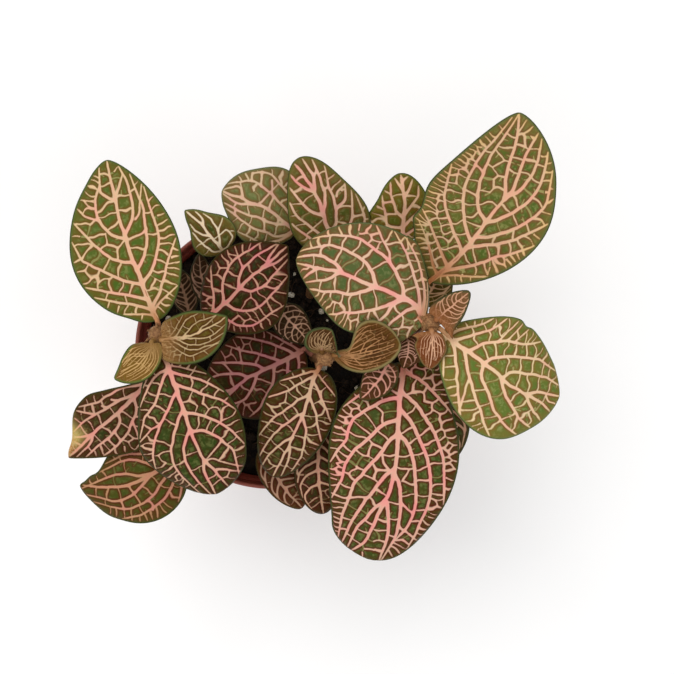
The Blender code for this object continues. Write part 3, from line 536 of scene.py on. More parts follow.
# ------------------------------------------------------------------ vein network
class Net:
    """Signed distances (mm, below zero inside a vein) on the flattened blade."""
    FAR = 1.8

    def __init__(self, name, spec, rng):
        self.name, self.spec, self.rng = name, spec, rng
        self.STEP = 0.12 if max(spec["w"]) > 8 else 0.08
        s = np.linspace(0, 1, 241)
        p = three(spec["base"], spec["mid"], spec["tip"], s)
        arc = np.concatenate([[0], np.cumsum(np.linalg.norm(np.diff(p, axis=0), axis=1))])
        self.s_tab, self.arc_tab, self.length = s, arc, arc[-1]
        wl = float(np.max(width(spec, s, 1))) * 1.15
        wr = float(np.max(width(spec, s, -1))) * 1.15
        self.x = np.arange(int(self.length / self.STEP) + 2) * self.STEP
        self.y0 = -wr - 0.5
        self.y = self.y0 + np.arange(int((wl + wr + 1) / self.STEP) + 2) * self.STEP
        shape = (len(self.y), len(self.x))
        self.main = np.full(shape, self.FAR)
        self.cross = np.full(shape, self.FAR)
        self.fine = np.full(shape, self.FAR)
        s_of = np.interp(self.x, arc, s)
        k_l, k_r = trimmed(name, s_of, 1), trimmed(name, s_of, -1)
        left, right = width(spec, s_of, 1) * k_l, width(spec, s_of, -1) * k_r
        sl, sr = np.gradient(left, self.x), np.gradient(right, self.x)
        y = self.y[:, None]
        self.edge = np.where(y >= 0, (left - y) / np.sqrt(1 + sl ** 2), (right + y) / np.sqrt(1 + sr ** 2))
        self.edge = np.minimum(self.edge, (self.length - self.x)[None, :] * 1.2 + 0.2)
        self.lines = []     # (points, side) of midrib and secondaries

    def flat(self, text):
        pts = []
        for item in text.split():
            s, t = (float(v) / 100 for v in item.split(","))
            side = 1 if t >= 0 else -1
            pts.append((np.interp(s, self.s_tab, self.arc_tab), t * float(width(self.spec, s, side))))
        return np.array(pts)

    def look(self, field, p):
        i = int((p[1] - self.y0) / self.STEP + 0.5)
        j = int(p[0] / self.STEP + 0.5)
        if i < 0 or j < 0 or i >= field.shape[0] or j >= field.shape[1]:
            return -1.0
        return field[i, j]

    def draw(self, field, pts, r0, r1, soft=0.13):
        pts = np.asarray(pts, float)
        seg = np.linalg.norm(np.diff(pts, axis=0), axis=1)
        total = max(seg.sum(), 1e-6)
        radius = r0 + (r1 - r0) * np.concatenate([[0], np.cumsum(seg)]) / total
        reach = self.FAR + max(r0, r1)
        lo, hi = pts.min(0) - reach, pts.max(0) + reach
        J0, J1 = max(int(lo[0] / self.STEP), 0), min(int(hi[0] / self.STEP) + 2, field.shape[1])
        I0, I1 = max(int((lo[1] - self.y0) / self.STEP), 0), min(int((hi[1] - self.y0) / self.STEP) + 2, field.shape[0])
        if J0 >= J1 or I0 >= I1:
            return
        best = np.full((I1 - I0, J1 - J0), self.FAR)
        for k in range(len(pts) - 1):
            a, b = pts[k], pts[k + 1]
            d = b - a
            L2 = d @ d
            if L2 < 1e-9:
                continue
            lo, hi = np.minimum(a, b) - reach, np.maximum(a, b) + reach
            j0, j1 = max(int(lo[0] / self.STEP), J0), min(int(hi[0] / self.STEP) + 2, J1)
            i0, i1 = max(int((lo[1] - self.y0) / self.STEP), I0), min(int((hi[1] - self.y0) / self.STEP) + 2, I1)
            if j0 >= j1 or i0 >= i1:
                continue
            X = self.x[j0:j1][None, :] - a[0]
            Y = self.y[i0:i1][:, None] - a[1]
            f = np.clip((X * d[0] + Y * d[1]) / L2, 0, 1)
            dist = np.sqrt((X - f * d[0]) ** 2 + (Y - f * d[1]) ** 2) - (radius[k] + (radius[k + 1] - radius[k]) * f)
            w = best[i0 - I0:i1 - I0, j0 - J0:j1 - J0]
            np.minimum(w, dist, out=w)
        w = field[I0:I1, J0:J1]
        near = best < self.FAR - 0.01
        merged = -soft * np.logaddexp(-w / soft, -best / soft)
        w[near] = np.minimum(merged, self.FAR)[near]


def grown_plan(spec, rng, pairs):
    """A vein plan for a leaf without a drawn one: arching pairs of secondaries."""
    drift = rng.uniform(-4, 4)
    mid = " ".join(f"{s},{drift * math.sin(s / 16):.1f}" for s in (1, 10, 22, 35, 48, 60, 72, 84, 94))
    main = []
    for side in (1, -1):
        for i in range(pairs):
            s0 = 5 + 68 * (i / pairs) ** 0.95 + rng.uniform(-2, 2) + (3 if side < 0 else 0)
            span = rng.uniform(24, 32) * (1 - 0.25 * i / pairs)
            top = rng.uniform(80, 88)
            pts = []
            for k in range(8):
                f = k / 7
                s = s0 + span * f ** 1.25
                t = top * math.sin(f * math.pi / 2) ** 0.85 + rng.uniform(-2, 2)
                if s < 97:
                    pts.append(f"{s:.1f},{side * max(t, 1.5):.1f}")
            main.append(" ".join(pts))
    return dict(mid=mid, main=main, cross=[])


def fan_plan(rng, count):
    """A vein plan for a young leaf: fine veins fanning from the base, some of them forked."""
    main = []
    for side in (1, -1):
        for i in range(count):
            t1 = (i + 0.75) / count * 86
            s0 = max(2.0, 13 - 11 * (i + 0.5) / count) + rng.uniform(-1, 1)
            drift = rng.uniform(2, 12) * (1 - 0.5 * i / count)
            end = rng.uniform(74, 94) - 22 * i / count
            pts = []
            for k in range(8):
                f = k / 7
                s = s0 + (end - s0) * f
                t = t1 * min(1.0, (0.22 + 0.78 * math.sin(min(f * 2.4, 1) * math.pi / 2))) + drift * f * f + rng.uniform(-1.2, 1.2)
                pts.append((s, min(t, 88)))
            main.append(" ".join(f"{s:.1f},{side * t:.1f}" for s, t in pts))
            if rng.random() < 0.75:
                j = rng.randrange(2, 5)
                s, t = pts[j]
                way = 1 if rng.random() < 0.8 else -1
                fork = [(s, t)]
                for k in range(1, 5):
                    fork.append((s + k * 7.5, t + way * (3.2 * k + 0.5 * k * k)))
                fork = [(a, b) for a, b in fork if a < 93 and 2 < b < 90]
                if len(fork) > 2:
                    main.append(" ".join(f"{a:.1f},{side * b:.1f}" for a, b in fork))
    return dict(mid="1,0 20,1 40,-1 60,1 80,0 92,0", main=main, cross=[])


def extend(net, pts, most=9.0):
    """Carry a free end straight on until it meets a vein or the margin."""
    q = pts[-1].copy()
    v = pts[-1] - pts[-min(4, len(pts) - 1) - 1]
    v = v / max(np.linalg.norm(v), 1e-9)
    out, run = [q.copy()], 0.0
    clear = 0.0
    while run < most:
        q = q + v * 0.25
        run += 0.25
        out.append(q.copy())
        if net.look(net.edge, q) < 0.7:
            break
        m = net.look(net.main, q)
        clear = max(clear, m)
        if clear > 0.35 and m < 0.0:
            break
    return np.array(out)


def components(free):
    """Numbers the four-connected patches of a grid, 0 where it is not free."""
    label = np.zeros(free.shape, int)
    rows, cols = free.shape
    count = 0
    for i0, j0 in zip(*np.nonzero(free)):
        if label[i0, j0]:
            continue
        count += 1
        label[i0, j0] = count
        stack = [(i0, j0)]
        while stack:
            i, j = stack.pop()
            for a, b in ((i + 1, j), (i - 1, j), (i, j + 1), (i, j - 1)):
                if 0 <= a < rows and 0 <= b < cols and free[a, b] and not label[a, b]:
                    label[a, b] = count
                    stack.append((a, b))
    return label, count


def reticulate(net, look, barrier):
    """Divide every patch between the main veins into rounded cells, and draw their walls."""
    rng = net.rng
    dice = np.random.default_rng(rng.randrange(1 << 30))
    scale = look.get("scale", 1.0)
    big, small = look.get("cells", 3.35) * scale, look.get("rimcells", 1.75) * scale
    rt, rf = look.get("third", 0.25), look.get("fourth", 0.15)
    K = 3
    free = (barrier[::K, ::K] > 0.0) & (net.edge[::K, ::K] > 0.3)
    label, count = components(free)
    xs, ys = net.x[::K], net.y[::K]
    # each grid point outside every patch takes a neighbour's number
    wide = label.copy()
    for _ in range(4):
        pad = np.pad(wide, 1)
        near = np.maximum.reduce([pad[:-2, 1:-1], pad[2:, 1:-1], pad[1:-1, :-2], pad[1:-1, 2:]])
        wide = np.where(wide == 0, near, wide)
    big_label = np.repeat(np.repeat(wide, K, 0), K, 1)[:net.main.shape[0], :net.main.shape[1]]
    if big_label.shape != net.main.shape:
        big_label = np.pad(big_label, ((0, net.main.shape[0] - big_label.shape[0]), (0, net.main.shape[1] - big_label.shape[1])), mode="edge")
    edge_c = net.edge[::K, ::K]
    out_y, out_x = np.gradient(-net.edge, net.STEP)
    stretch = look.get("stretch", 0.8)
    warp_x, warp_y = waves(rng, 5, 2.6, 6.0), waves(rng, 5, 2.6, 6.0)
    amp = look.get("warp", 0.34) * scale
    spurs = []
    for k in range(1, count + 1):
        I, J = np.nonzero(label == k)
        area = len(I) * (net.STEP * K) ** 2
        if area < 2.2 * scale:
            continue
        P = np.stack([xs[J], ys[I]], -1)
        e = edge_c[I, J]
        inward = np.clip((e - 1.4) / 2.6, 0, 1)
        rho = lerp(1 / (small * look.get("rimdeep", 2.8) * scale), 1 / big ** 2, inward)
        n = int(round(rho.sum() * (net.STEP * K) ** 2 * look.get("density", 1.0)))
        if n < 2:
            continue
        seeds = P[dice.choice(len(P), n, replace=False, p=rho / rho.sum())]

        def gaps(points):
            """Squared distances to the seeds, short across the margin so that cells reach out to it."""
            si = np.clip(((seeds[:, 1] - net.y0) / net.STEP).round().astype(int), 0, net.edge.shape[0] - 1)
            sj = np.clip((seeds[:, 0] / net.STEP).round().astype(int), 0, net.edge.shape[1] - 1)
            normal = unit(np.stack([out_x[si, sj], out_y[si, sj]], -1))
            share = stretch * np.clip(1 - (net.edge[si, sj] - 1.4) / 2.6, 0, 1)
            v = points[:, None] - seeds[None]
            return (v ** 2).sum(-1) - share * (v * normal[None]).sum(-1) ** 2, normal, share
        for _ in range(14):
            near = gaps(P)[0].argmin(1)
            for i in range(n):
                m = near == i
                if m.any():
                    w = rho[m][:, None]
                    seeds[i] = (P[m] * w).sum(0) / w.sum()
        seeds = seeds + dice.uniform(-0.16, 0.16, seeds.shape) * scale
        fi, fj = np.nonzero(big_label == k)
        widths = dice.uniform(0.72, 1.2, (n, n))
        widths = (widths + widths.T) / 2
        gone = dice.uniform(0, 1, (n, n))
        gone = np.maximum(gone, gone.T) < look.get("gaps", 0.26)
        pale = dice.uniform(0, 1, (n, n))
        pale = np.maximum(pale, pale.T) < look.get("pale", 0.4)
        for at in range(0, len(fi), 40000):
            ii, jj = fi[at:at + 40000], fj[at:at + 40000]
            X, Y = net.x[jj], net.y[ii]
            E = net.edge[ii, jj]
            Q = np.stack([X + amp * warp_x(X, Y), Y + amp * warp_y(X, Y)], -1)
            D, normal, share = gaps(Q)
            first = D.argmin(1)
            d1 = D[np.arange(len(Q)), first]
            v = seeds[:, None] - seeds[None]
            v = v - share[None, :, None] * (v * normal[None]).sum(-1)[..., None] * normal[None]
            apart = np.sqrt((v ** 2).sum(-1))
            apart = (apart + apart.T) / 2
            joined = apart < 0.75 * scale
            apart[joined] = 1.0
            thin = 0.78 + 0.22 * np.clip(E / 4.5, 0, 1)
            thin = thin * np.clip((E - look.get("margin", 0.6) * 0.6) / 0.9, 0, 1) ** 0.5
            R = rt * widths[first] * thin[:, None]
            away = (D - d1[:, None]) / (2 * apart[first])
            away[np.arange(len(Q)), first] = 9.0
            away = np.where(gone[first] | joined[first], 9.0, away)
            thread = pale[first] & (E > 3.0)[:, None]
            w = net.fine[ii, jj]
            net.fine[ii, jj] = np.minimum(w, np.where(thread, away - rf * 1.5, 9.0).min(1))
            F = np.where(thread, 9.0, away) - R
            F = np.where(thin[:, None] < 0.02, 9.0, F)
            soft = 0.11
            F = -soft * np.log(np.exp(-np.clip(F, -2, 6) / soft).sum(1) + 1e-30)
            w = net.cross[ii, jj]
            net.cross[ii, jj] = np.minimum(w, np.minimum(F, net.FAR))
        for i in range(n):
            spurs.append(seeds[i])
    # free-ending spurs, from a cell's wall toward its middle
    want = look.get("spurs", 0.4)
    for c in spurs:
        if net.look(net.edge, c) < 2.2 * scale:
            continue
        turn = rng.uniform(0, 2 * math.pi)
        number = 1 + (rng.random() < 0.7 * want) + (rng.random() < 0.45 * want)
        for m in range(number):
            if rng.random() > 0.9 * want:
                continue
            a = turn + m * 2 * math.pi / number + rng.uniform(-0.5, 0.5)
            d = np.array([math.cos(a), math.sin(a)])
            run = 0.0
            while run < 4.5 and min(net.look(net.main, c + d * run), net.look(net.cross, c + d * run)) > -0.02:
                run += 0.1
            if run < 0.7 or run >= 4.5:
                continue
            length = min(run * rng.uniform(0.5, 0.85), 2.1 * scale)
            foot = c + d * (run + 0.06)
            side = np.array([-d[1], d[0]]) * rng.uniform(-0.3, 0.3) * length
            mid_ = foot - d * length * 0.5 + side * 0.6
            end = foot - d * length + side
            net.draw(net.fine, np.array([foot, mid_, end]), rf * 1.3, rf * 0.85, 0.05)
            if length > 0.9 and rng.random() < 0.35:
                fork = mid_ - d * length * 0.3 + np.array([-d[1], d[0]]) * rng.choice((-1, 1)) * length * 0.35
                net.draw(net.fine, np.array([mid_, fork]), rf * 0.9, rf * 0.7, 0.05)


def grow(net, plan, look):
    """Draw the whole network: midrib, secondaries, cell walls and spurs."""
    rng = net.rng
    rm0, rm1 = look.get("midrib", (0.85, 0.42))
    rs0, rs1 = look.get("second", (0.55, 0.34))
    rt = look.get("third", 0.25)
    wob_x, wob_y = waves(rng, 4, 2.2, 5.0), waves(rng, 4, 2.2, 5.0)

    def wavy(pts):
        return pts + 0.07 * np.stack([wob_x(pts[:, 0], pts[:, 1]), wob_y(pts[:, 0], pts[:, 1])], -1)
    mid = wavy(eased_line(net.flat(plan["mid"]), 5))
    soft = look.get("soft", 0.2)
    net.draw(net.main, mid, rm0, rm1, soft)
    ends = []
    for text in plan["main"]:
        pts = net.flat(text)
        gap = np.linalg.norm(mid - pts[0], axis=1)
        if rm0 * 0.6 < gap.min() < 4.0:
            back = max(pts[0][0] - gap.min() * 0.8, 0.5)
            pts = np.vstack([[back, np.interp(back, mid[:, 0], mid[:, 1])], pts])
        pts = wavy(eased_line(pts, 5))
        net.draw(net.main, pts, rs0, rs1, soft)
        ends.append(pts)
    for text in plan["cross"]:
        pts = wavy(eased_line(net.flat(text), 5))
        net.draw(net.main, pts, rt * 1.2, rt, soft)
        ends.append(pts)
    barrier = np.minimum(net.main, net.FAR)
    lines = ends + [mid]
    for k, pts in enumerate(lines):
        others = np.vstack([q for m, q in enumerate(lines) if m != k])
        if np.linalg.norm(others - pts[-1], axis=1).min() < 0.7:
            continue        # it already ends on another vein
        more = extend(net, pts)
        if len(more) < 3:
            continue
        pick = np.vstack([more[:-1:3], more[-1]])
        net.draw(net.cross, pick, rs1 * 0.95, look.get("fourth", 0.15), 0.12)
        net.draw(barrier, pick, 0.32, 0.3, 0.02)
    barrier = np.minimum(barrier, net.main)
    reticulate(net, look, barrier)


def bilinear(net, field, x, y):
    fx = np.clip(x / net.STEP, 0, field.shape[1] - 1.001)
    fy = np.clip((y - net.y0) / net.STEP, 0, field.shape[0] - 1.001)
    j, i = fx.astype(int), fy.astype(int)
    a, b = fx - j, fy - i
    return ((field[i, j] * (1 - a) + field[i, j + 1] * a) * (1 - b)
            + (field[i + 1, j] * (1 - a) + field[i + 1, j + 1] * a) * b)


def eased(n, end=0.05):
    """n + 1 values from 0 to 1, closing up towards both ends."""
    u = np.linspace(0, 1, n + 1)
    d = np.minimum(u, 1 - u)
    low = np.where(d < end, d ** 3 / (3 * end * end), d - 2 * end / 3)
    total = 1 - 4 * end / 3
    return np.where(u < 0.5, low, total - low) / total


def make_leaf(name, spec, look):
    seed = sum(ord(c) * (i + 3) for i, c in enumerate(name))
    rng = random.Random(seed)
    net = Net(name, spec, rng)
    if "fan" in look:
        plan = fan_plan(rng, look["fan"])
    else:
        plan = VEINS.get(name) or grown_plan(spec, rng, look.get("pairs", 6))
    grow(net, plan, look)
    cell = np.minimum(np.minimum(net.main, net.cross), net.fine + 0.25)

    step = look.get("mesh", 0.25)
    ratio = 3
    rows = max(int(net.length / step / ratio) * ratio, 24)
    cl = max(int(spec["w"][0] / step / ratio) * ratio, 9)
    cr = max(int(spec["w"][1] / step / ratio) * ratio, 9)
    u = eased(rows)
    tcol = np.concatenate([-np.linspace(1, 0, cr + 1)[:-1], np.linspace(0, 1, cl + 1)])
    S = np.repeat(u[:, None], len(tcol), 1)
    T = np.repeat(tcol[None, :], len(u), 0)
    K = np.where(T >= 0, trimmed(name, S, 1), trimmed(name, S, -1))
    TE = T * K
    X = np.interp(S, net.s_tab, net.arc_tab)
    W = np.where(TE >= 0, width(spec, S, 1), width(spec, S, -1))
    Y = TE * W
    P, Nn = blade(spec, S, TE)
    main = bilinear(net, net.main, X, Y)
    cross = bilinear(net, net.cross, X, Y)
    fine = bilinear(net, net.fine, X, Y)
    edge = np.maximum(bilinear(net, net.edge, X, Y), 0)
    near = bilinear(net, cell, X, Y)
    soft = waves(rng, 7, 7, 16)
    ripple = waves(rng, 6, 3.0, 6.0)
    puff = look.get("puff", 0.24)
    inner = np.clip(edge / 1.6, 0, 1)
    inner = inner * inner * (3 - 2 * inner)
    c = np.clip((near + 0.15) / 1.05, 0, 1)
    h = puff * c * c * (3 - 2 * c)
    groove = -0.10 * np.clip(-main / 0.5, 0, 1)
    h = (h + groove) * (0.25 + 0.75 * inner) + 0.16 * soft(X, Y) * inner + 0.05 * ripple(X, Y) * inner
    # the margin turns down a little and ripples
    rim = np.clip(1 - edge / 1.5, 0, 1)
    h = h - 0.22 * rim ** 2
    half = BLADE_T / 2 * (0.45 + 0.55 * np.clip(edge / 1.2, 0, 1))
    top = P + Nn * (half + h)[..., None]

    # underside at a third of the density, with raised ribs
    r_idx = np.arange(0, rows + 1, ratio)
    c_idx = np.arange(0, len(tcol), ratio)
    sub = np.ix_(r_idx, c_idx)
    rib_mid = np.exp(-(Y[sub] / 0.75) ** 2) * (1 - S[sub]) * 0.55
    rib = 0.22 * np.clip(0.35 - main[sub], 0, 0.7) / 0.7 + rib_mid
    rib = rib * np.clip(edge[sub] / 1.5, 0, 1)
    bottom = P[sub] - Nn[sub] * (half[sub] + rib - h[sub] * 0.75)[..., None]

    nr, nc = S.shape
    br, bc = bottom.shape[:2]
    verts = [top.reshape(-1, 3), bottom.reshape(-1, 3)]
    idt = np.arange(nr * nc).reshape(nr, nc)
    idb = nr * nc + np.arange(br * bc).reshape(br, bc)
    q_top = np.stack([idt[:-1, :-1], idt[:-1, 1:], idt[1:, 1:], idt[1:, :-1]], -1).reshape(-1, 4)[:, ::-1]
    q_bot = np.stack([idb[:-1, :-1], idb[:-1, 1:], idb[1:, 1:], idb[1:, :-1]], -1).reshape(-1, 4)
    # rim: a middle line all round, then down to the coarse underside
    loop_t = np.concatenate([idt[0, :-1], idt[:-1, -1], idt[-1, :0:-1], idt[:0:-1, 0]])
    loop_b = np.concatenate([idb[0, :-1], idb[:-1, -1], idb[-1, :0:-1], idb[:0:-1, 0]])
    flat_p, flat_n = P.reshape(-1, 3), Nn.reshape(-1, 3)
    hh = h.reshape(-1)
    ring = flat_p[loop_t] + flat_n[loop_t] * (hh[loop_t] * 0.9)[:, None]
    away = ring - ring.mean(0)
    tang = unit(np.roll(ring, -1, 0) - np.roll(ring, 1, 0))
    outw = unit(np.cross(tang, flat_n[loop_t]))
    outw = np.where((outw * away).sum(1, keepdims=True) < 0, -outw, outw)
    ring = ring + outw * 0.09
    base_id = nr * nc + br * bc
    ids_m = base_id + np.arange(len(loop_t))
    verts.append(ring)
    nxt = np.roll(np.arange(len(loop_t)), -1)
    q_rim = np.stack([loop_t, ids_m, ids_m[nxt], loop_t[nxt]], -1)
    tri = []
    m = len(loop_b)
    for k in range(m):
        a, b = loop_b[k], loop_b[(k + 1) % m]
        f = [ids_m[(k * ratio + j) % len(ids_m)] for j in range(ratio + 1)]
        tri += [(f[0], a, f[1]), (f[1], a, b), (f[1], b, f[2]), (f[2], b, f[3])]
    tri = np.array(tri)

    # stalk, running on under the midrib
    path = stalk_path(spec)
    n_stalk = len(path)
    run_s = np.array([0.03, 0.08, 0.15, 0.24, 0.34])
    pm, nm = blade(spec, run_s, np.zeros_like(run_s))
    sink = np.array([0.28, 0.36, 0.38, 0.36, 0.3])
    path = np.array(path + [pm[i] - nm[i] * sink[i] for i in range(len(run_s))])
    wide = 0.74 if net.length > 18 else 0.8 if "foot" in spec else 0.55
    radii = np.concatenate([np.linspace(wide * 1.12, wide * 0.94, n_stalk), wide * np.array([0.86, 0.74, 0.6, 0.45, 0.25])])
    path = spline(path, 2)
    radii = np.interp(np.linspace(0, 1, len(path)), np.linspace(0, 1, len(radii)), radii)
    tv, tq, tt, share = tube(path, radii, 12)
    base_id2 = base_id + len(ring)
    verts.append(tv)
    verts = np.concatenate(verts)

    def joined(top_v, bot_v, rim_v, tube_v):
        return np.concatenate([top_v.reshape(-1), bot_v.reshape(-1), rim_v.reshape(-1), tube_v])
    rim_of = lambda v: v.reshape(-1)[loop_t]
    nt_ = len(tv)
    on_blade = np.clip((share - n_stalk / (n_stalk + 5)) * 4, 0, 1)
    attributes = {
        "vein_main": joined(main, main[sub], rim_of(main), np.full(nt_, -0.55)),
        "vein_cross": joined(cross, cross[sub], rim_of(cross), np.full(nt_, 1.5)),
        "vein_fine": joined(fine, fine[sub], rim_of(fine), np.full(nt_, 1.5)),
        "margin": joined(edge, edge[sub], rim_of(edge) * 0, np.full(nt_, 6.0)),
        "along": joined(S, S[sub], rim_of(S), -0.2 + 0.2 * share),
        "across": joined(TE, TE[sub], rim_of(TE), np.zeros(nt_)),
        "under": joined(S * 0, S[sub] * 0 + 1, rim_of(S) * 0 + 0.3, on_blade),
    }
    obj = mesh_object("vis_" + name, verts,
                      [q_top, q_bot, q_rim, tri, tq + base_id2, tt + base_id2], attributes)
    return obj


# ------------------------------------------------------------------ materials
def rgb(text):
    """Linear colour of a hex triplet."""
    out = []
    for i in (0, 2, 4):
        c = int(text[i:i + 2], 16) / 255
        out.append(c / 12.92 if c <= 0.04045 else ((c + 0.055) / 1.055) ** 2.4)
    return (*out, 1.0)


class Graph:
    """Short calls for building a node tree."""

    def __init__(self, name):
        self.mat = bpy.data.materials.new(name)
        self.mat.use_nodes = True
        self.nt = self.mat.node_tree
        self.shader = self.nt.nodes["Principled BSDF"]
        self.coords = None

    def node(self, kind, **settings):
        n = self.nt.nodes.new(kind)
        for k, v in settings.items():
            setattr(n, k, v)
        return n

    def put(self, socket, value):
        if isinstance(value, bpy.types.NodeSocket):
            self.nt.links.new(value, socket)
        else:
            socket.default_value = value

    def attr(self, name):
        return self.node("ShaderNodeAttribute", attribute_name=name).outputs["Fac"]

    def place(self):
        if self.coords is None:
            self.coords = self.node("ShaderNodeTexCoord").outputs["Object"]
        return self.coords

    def noise(self, scale, detail=2.0, rough=0.5, shift=0.0, distort=0.0):
        n = self.node("ShaderNodeTexNoise", noise_dimensions="4D")
        self.put(n.inputs["Vector"], self.place())
        n.inputs["Scale"].default_value = scale
        n.inputs["Detail"].default_value = detail
        n.inputs["Roughness"].default_value = rough
        n.inputs["Distortion"].default_value = distort
        n.inputs["W"].default_value = shift
        return n.outputs["Fac"]

    def streaks(self, along, across, a, b, shift):
        """Noise drawn out along the leaf."""
        v = self.node("ShaderNodeCombineXYZ")
        self.put(v.inputs[0], self.math("MULTIPLY", along, a))
        self.put(v.inputs[1], self.math("MULTIPLY", across, b))
        v.inputs[2].default_value = shift
        n = self.node("ShaderNodeTexNoise")
        self.put(n.inputs["Vector"], v.outputs[0])
        n.inputs["Scale"].default_value = 1.0
        n.inputs["Detail"].default_value = 2.0
        return n.outputs["Fac"]

    def math(self, op, a, b=None):
        n = self.node("ShaderNodeMath", operation=op)
        self.put(n.inputs[0], a)
        if b is not None:
            self.put(n.inputs[1], b)
        return n.outputs[0]

    def smooth(self, x, lo, hi, to=(0.0, 1.0)):
        n = self.node("ShaderNodeMapRange", interpolation_type="SMOOTHSTEP")
        self.put(n.inputs["Value"], x)
        n.inputs["From Min"].default_value = lo
        n.inputs["From Max"].default_value = hi
        n.inputs["To Min"].default_value = to[0]
        n.inputs["To Max"].default_value = to[1]
        return n.outputs["Result"]

    def mix(self, f, a, b):
        n = self.node("ShaderNodeMix", data_type="RGBA")
        self.put(n.inputs[0], f)
        self.put(n.inputs[6], a)
        self.put(n.inputs[7], b)
        return n.outputs[2]

    def bump(self, height, distance, strength=1.0):
        n = self.node("ShaderNodeBump")
        n.inputs["Strength"].default_value = strength
        n.inputs["Distance"].default_value = distance
        self.put(n.inputs["Height"], height)
        self.put(self.shader.inputs["Normal"], n.outputs["Normal"])


def leaf_material(name, look, index):
    g = Graph("mat_" + name)
    m_, a_ = g.math, g.attr
    shift = index * 3.7
    grain = g.noise(1500, 2.0, 0.6, shift)
    blotch = g.noise(170, 3.0, 0.6, shift + 1, 0.6)
    cloud = g.noise(70, 2.0, 0.5, shift + 2)
    jitter = m_("MULTIPLY", m_("SUBTRACT", grain, 0.5), 0.20 * look.get("jag", 1.0))
    main = m_("ADD", a_("vein_main"), jitter)
    cross = m_("ADD", a_("vein_cross"), jitter)
    fine = m_("ADD", a_("vein_fine"), m_("MULTIPLY", jitter, 0.6))
    edge = a_("margin")
    along = a_("along")
    near = m_("MINIMUM", main, cross)
    near_all = m_("MINIMUM", near, m_("ADD", fine, 0.25))
    # cells: darker against the veins and towards the margin, greener inside, with light speckles inside that are partly
    # mottling and partly painted highlight
    inside = g.smooth(near_all, 0.08, look.get("fade", 0.95))
    cell = g.mix(inside, rgb(look["dark"]), rgb(look["cell"]))
    cell = g.mix(g.smooth(blotch, 0.45, 0.7, (0, look.get("blotch", 0.5))), cell, rgb(look["patch"]))
    cell = g.mix(g.smooth(cloud, 0.42, 0.7, (0, look.get("cloud", 0.3))), cell, rgb(look["shade"]))
    # light speckles in the cell middles: partly mottling, partly a painted highlight on the puffed cells
    mottle = g.noise(620, 3.0, 0.62, shift + 4, 0.8)
    cell = g.mix(m_("MULTIPLY", g.smooth(mottle, 0.46, 0.68), m_("MULTIPLY", inside, look.get("mottle", 0.42))), cell, rgb(look["fine"]))
    cell = g.mix(g.smooth(edge, 4.0, 1.4, (0, look.get("rimward", 0.5))), cell, rgb(look["shade"]))
    rim_at = look.get("rim_at", 0.85)
    cell = g.mix(g.smooth(edge, rim_at, rim_at * 0.45, (0, 0.8)), cell, rgb(look["rim"]))
    cell = g.mix(g.smooth(edge, 0.3, 0.05, (0, look.get("line", 0.7))), cell, rgb(look.get("lip", "2C3018")))
    # veins: a pink core with tan edges
    tone = g.mix(g.smooth(main, -0.04, -0.30), rgb(look["vein"]), rgb(look["core"]))
    tone = g.mix(g.smooth(blotch, 0.40, 0.7, (0, 0.5)), tone, rgb(look["vein2"]))
    tone = g.mix(g.smooth(cloud, 0.40, 0.66, (0, 0.45)), tone, rgb(look["cross"]))
    if "rose" in look:
        flush = g.noise(130, 2.0, 0.5, shift + 5)
        tone = g.mix(g.smooth(flush, 0.47, 0.66, (0, 0.75)), tone, rgb(look["rose"]))
    tone = g.mix(g.smooth(along, look.get("base_to", 0.16), -0.02), tone, rgb(look["base"]))
    wall = g.mix(g.smooth(blotch, 0.4, 0.65), rgb(look["cross"]), rgb(look["cross2"]))
    wall = g.mix(g.smooth(cross, -0.02, -0.26, (0, 0.5)), wall, rgb(look["core"]))
    if "gold" in look:
        tone = g.mix(g.smooth(edge, 3.5, 0.8, (0, 0.6)), tone, rgb(look["gold"]))
        wall = g.mix(g.smooth(edge, 5.0, 1.2, (0, 0.8)), wall, rgb(look["gold"]))
    if "rose" in look:
        wall = g.mix(g.smooth(flush, 0.5, 0.7, (0, 0.45)), wall, rgb(look["rose"]))
    fade = look.get("margin", 0.6)
    ramp = look.get("ramp", 0.14)
    edge_fade = g.smooth(edge, fade * 0.5, fade * 1.5, (0.0, 1.0))
    colour = g.mix(m_("MULTIPLY", g.smooth(fine, 0.10, -0.06, (0, look.get("fine_at", 0.7))), edge_fade), cell, rgb(look["fine"]))
    colour = g.mix(m_("MULTIPLY", g.smooth(cross, ramp, -0.85 * ramp), edge_fade), colour, wall)
    colour = g.mix(m_("MULTIPLY", g.smooth(main, ramp, -ramp), edge_fade), colour, tone)
    if "down" in look:      # hairs lying over the base of a young blade
        streak = g.streaks(a_("along"), a_("across"), 9.0, 46.0, shift + 6)
        hair = g.mix(g.smooth(streak, 0.40, 0.62), rgb(look["down"][0]), rgb(look["down"][1]))
        reach = m_("ADD", along, m_("MULTIPLY", m_("SUBTRACT", streak, 0.5), 0.45))
        colour = g.mix(g.smooth(reach, look["down"][2], look["down"][2] * 0.1, (0, 0.9)), colour, hair)
    if "burn" in look:      # dry tip
        dry = m_("MULTIPLY", g.smooth(m_("ADD", along, m_("MULTIPLY", m_("SUBTRACT", blotch, 0.5), 0.10)), look["burn"][0], look["burn"][1]),
                 g.smooth(a_("across"), look["burn"][2], look["burn"][3]))
        crisp = g.mix(g.smooth(along, 0.84, 0.95), rgb("CDB25C"), rgb("B27238"))
        crisp = g.mix(g.smooth(grain, 0.35, 0.65, (0, 0.6)), crisp, rgb("DCCB90"))
        colour = g.mix(m_("MULTIPLY", dry, 0.85), colour, crisp)
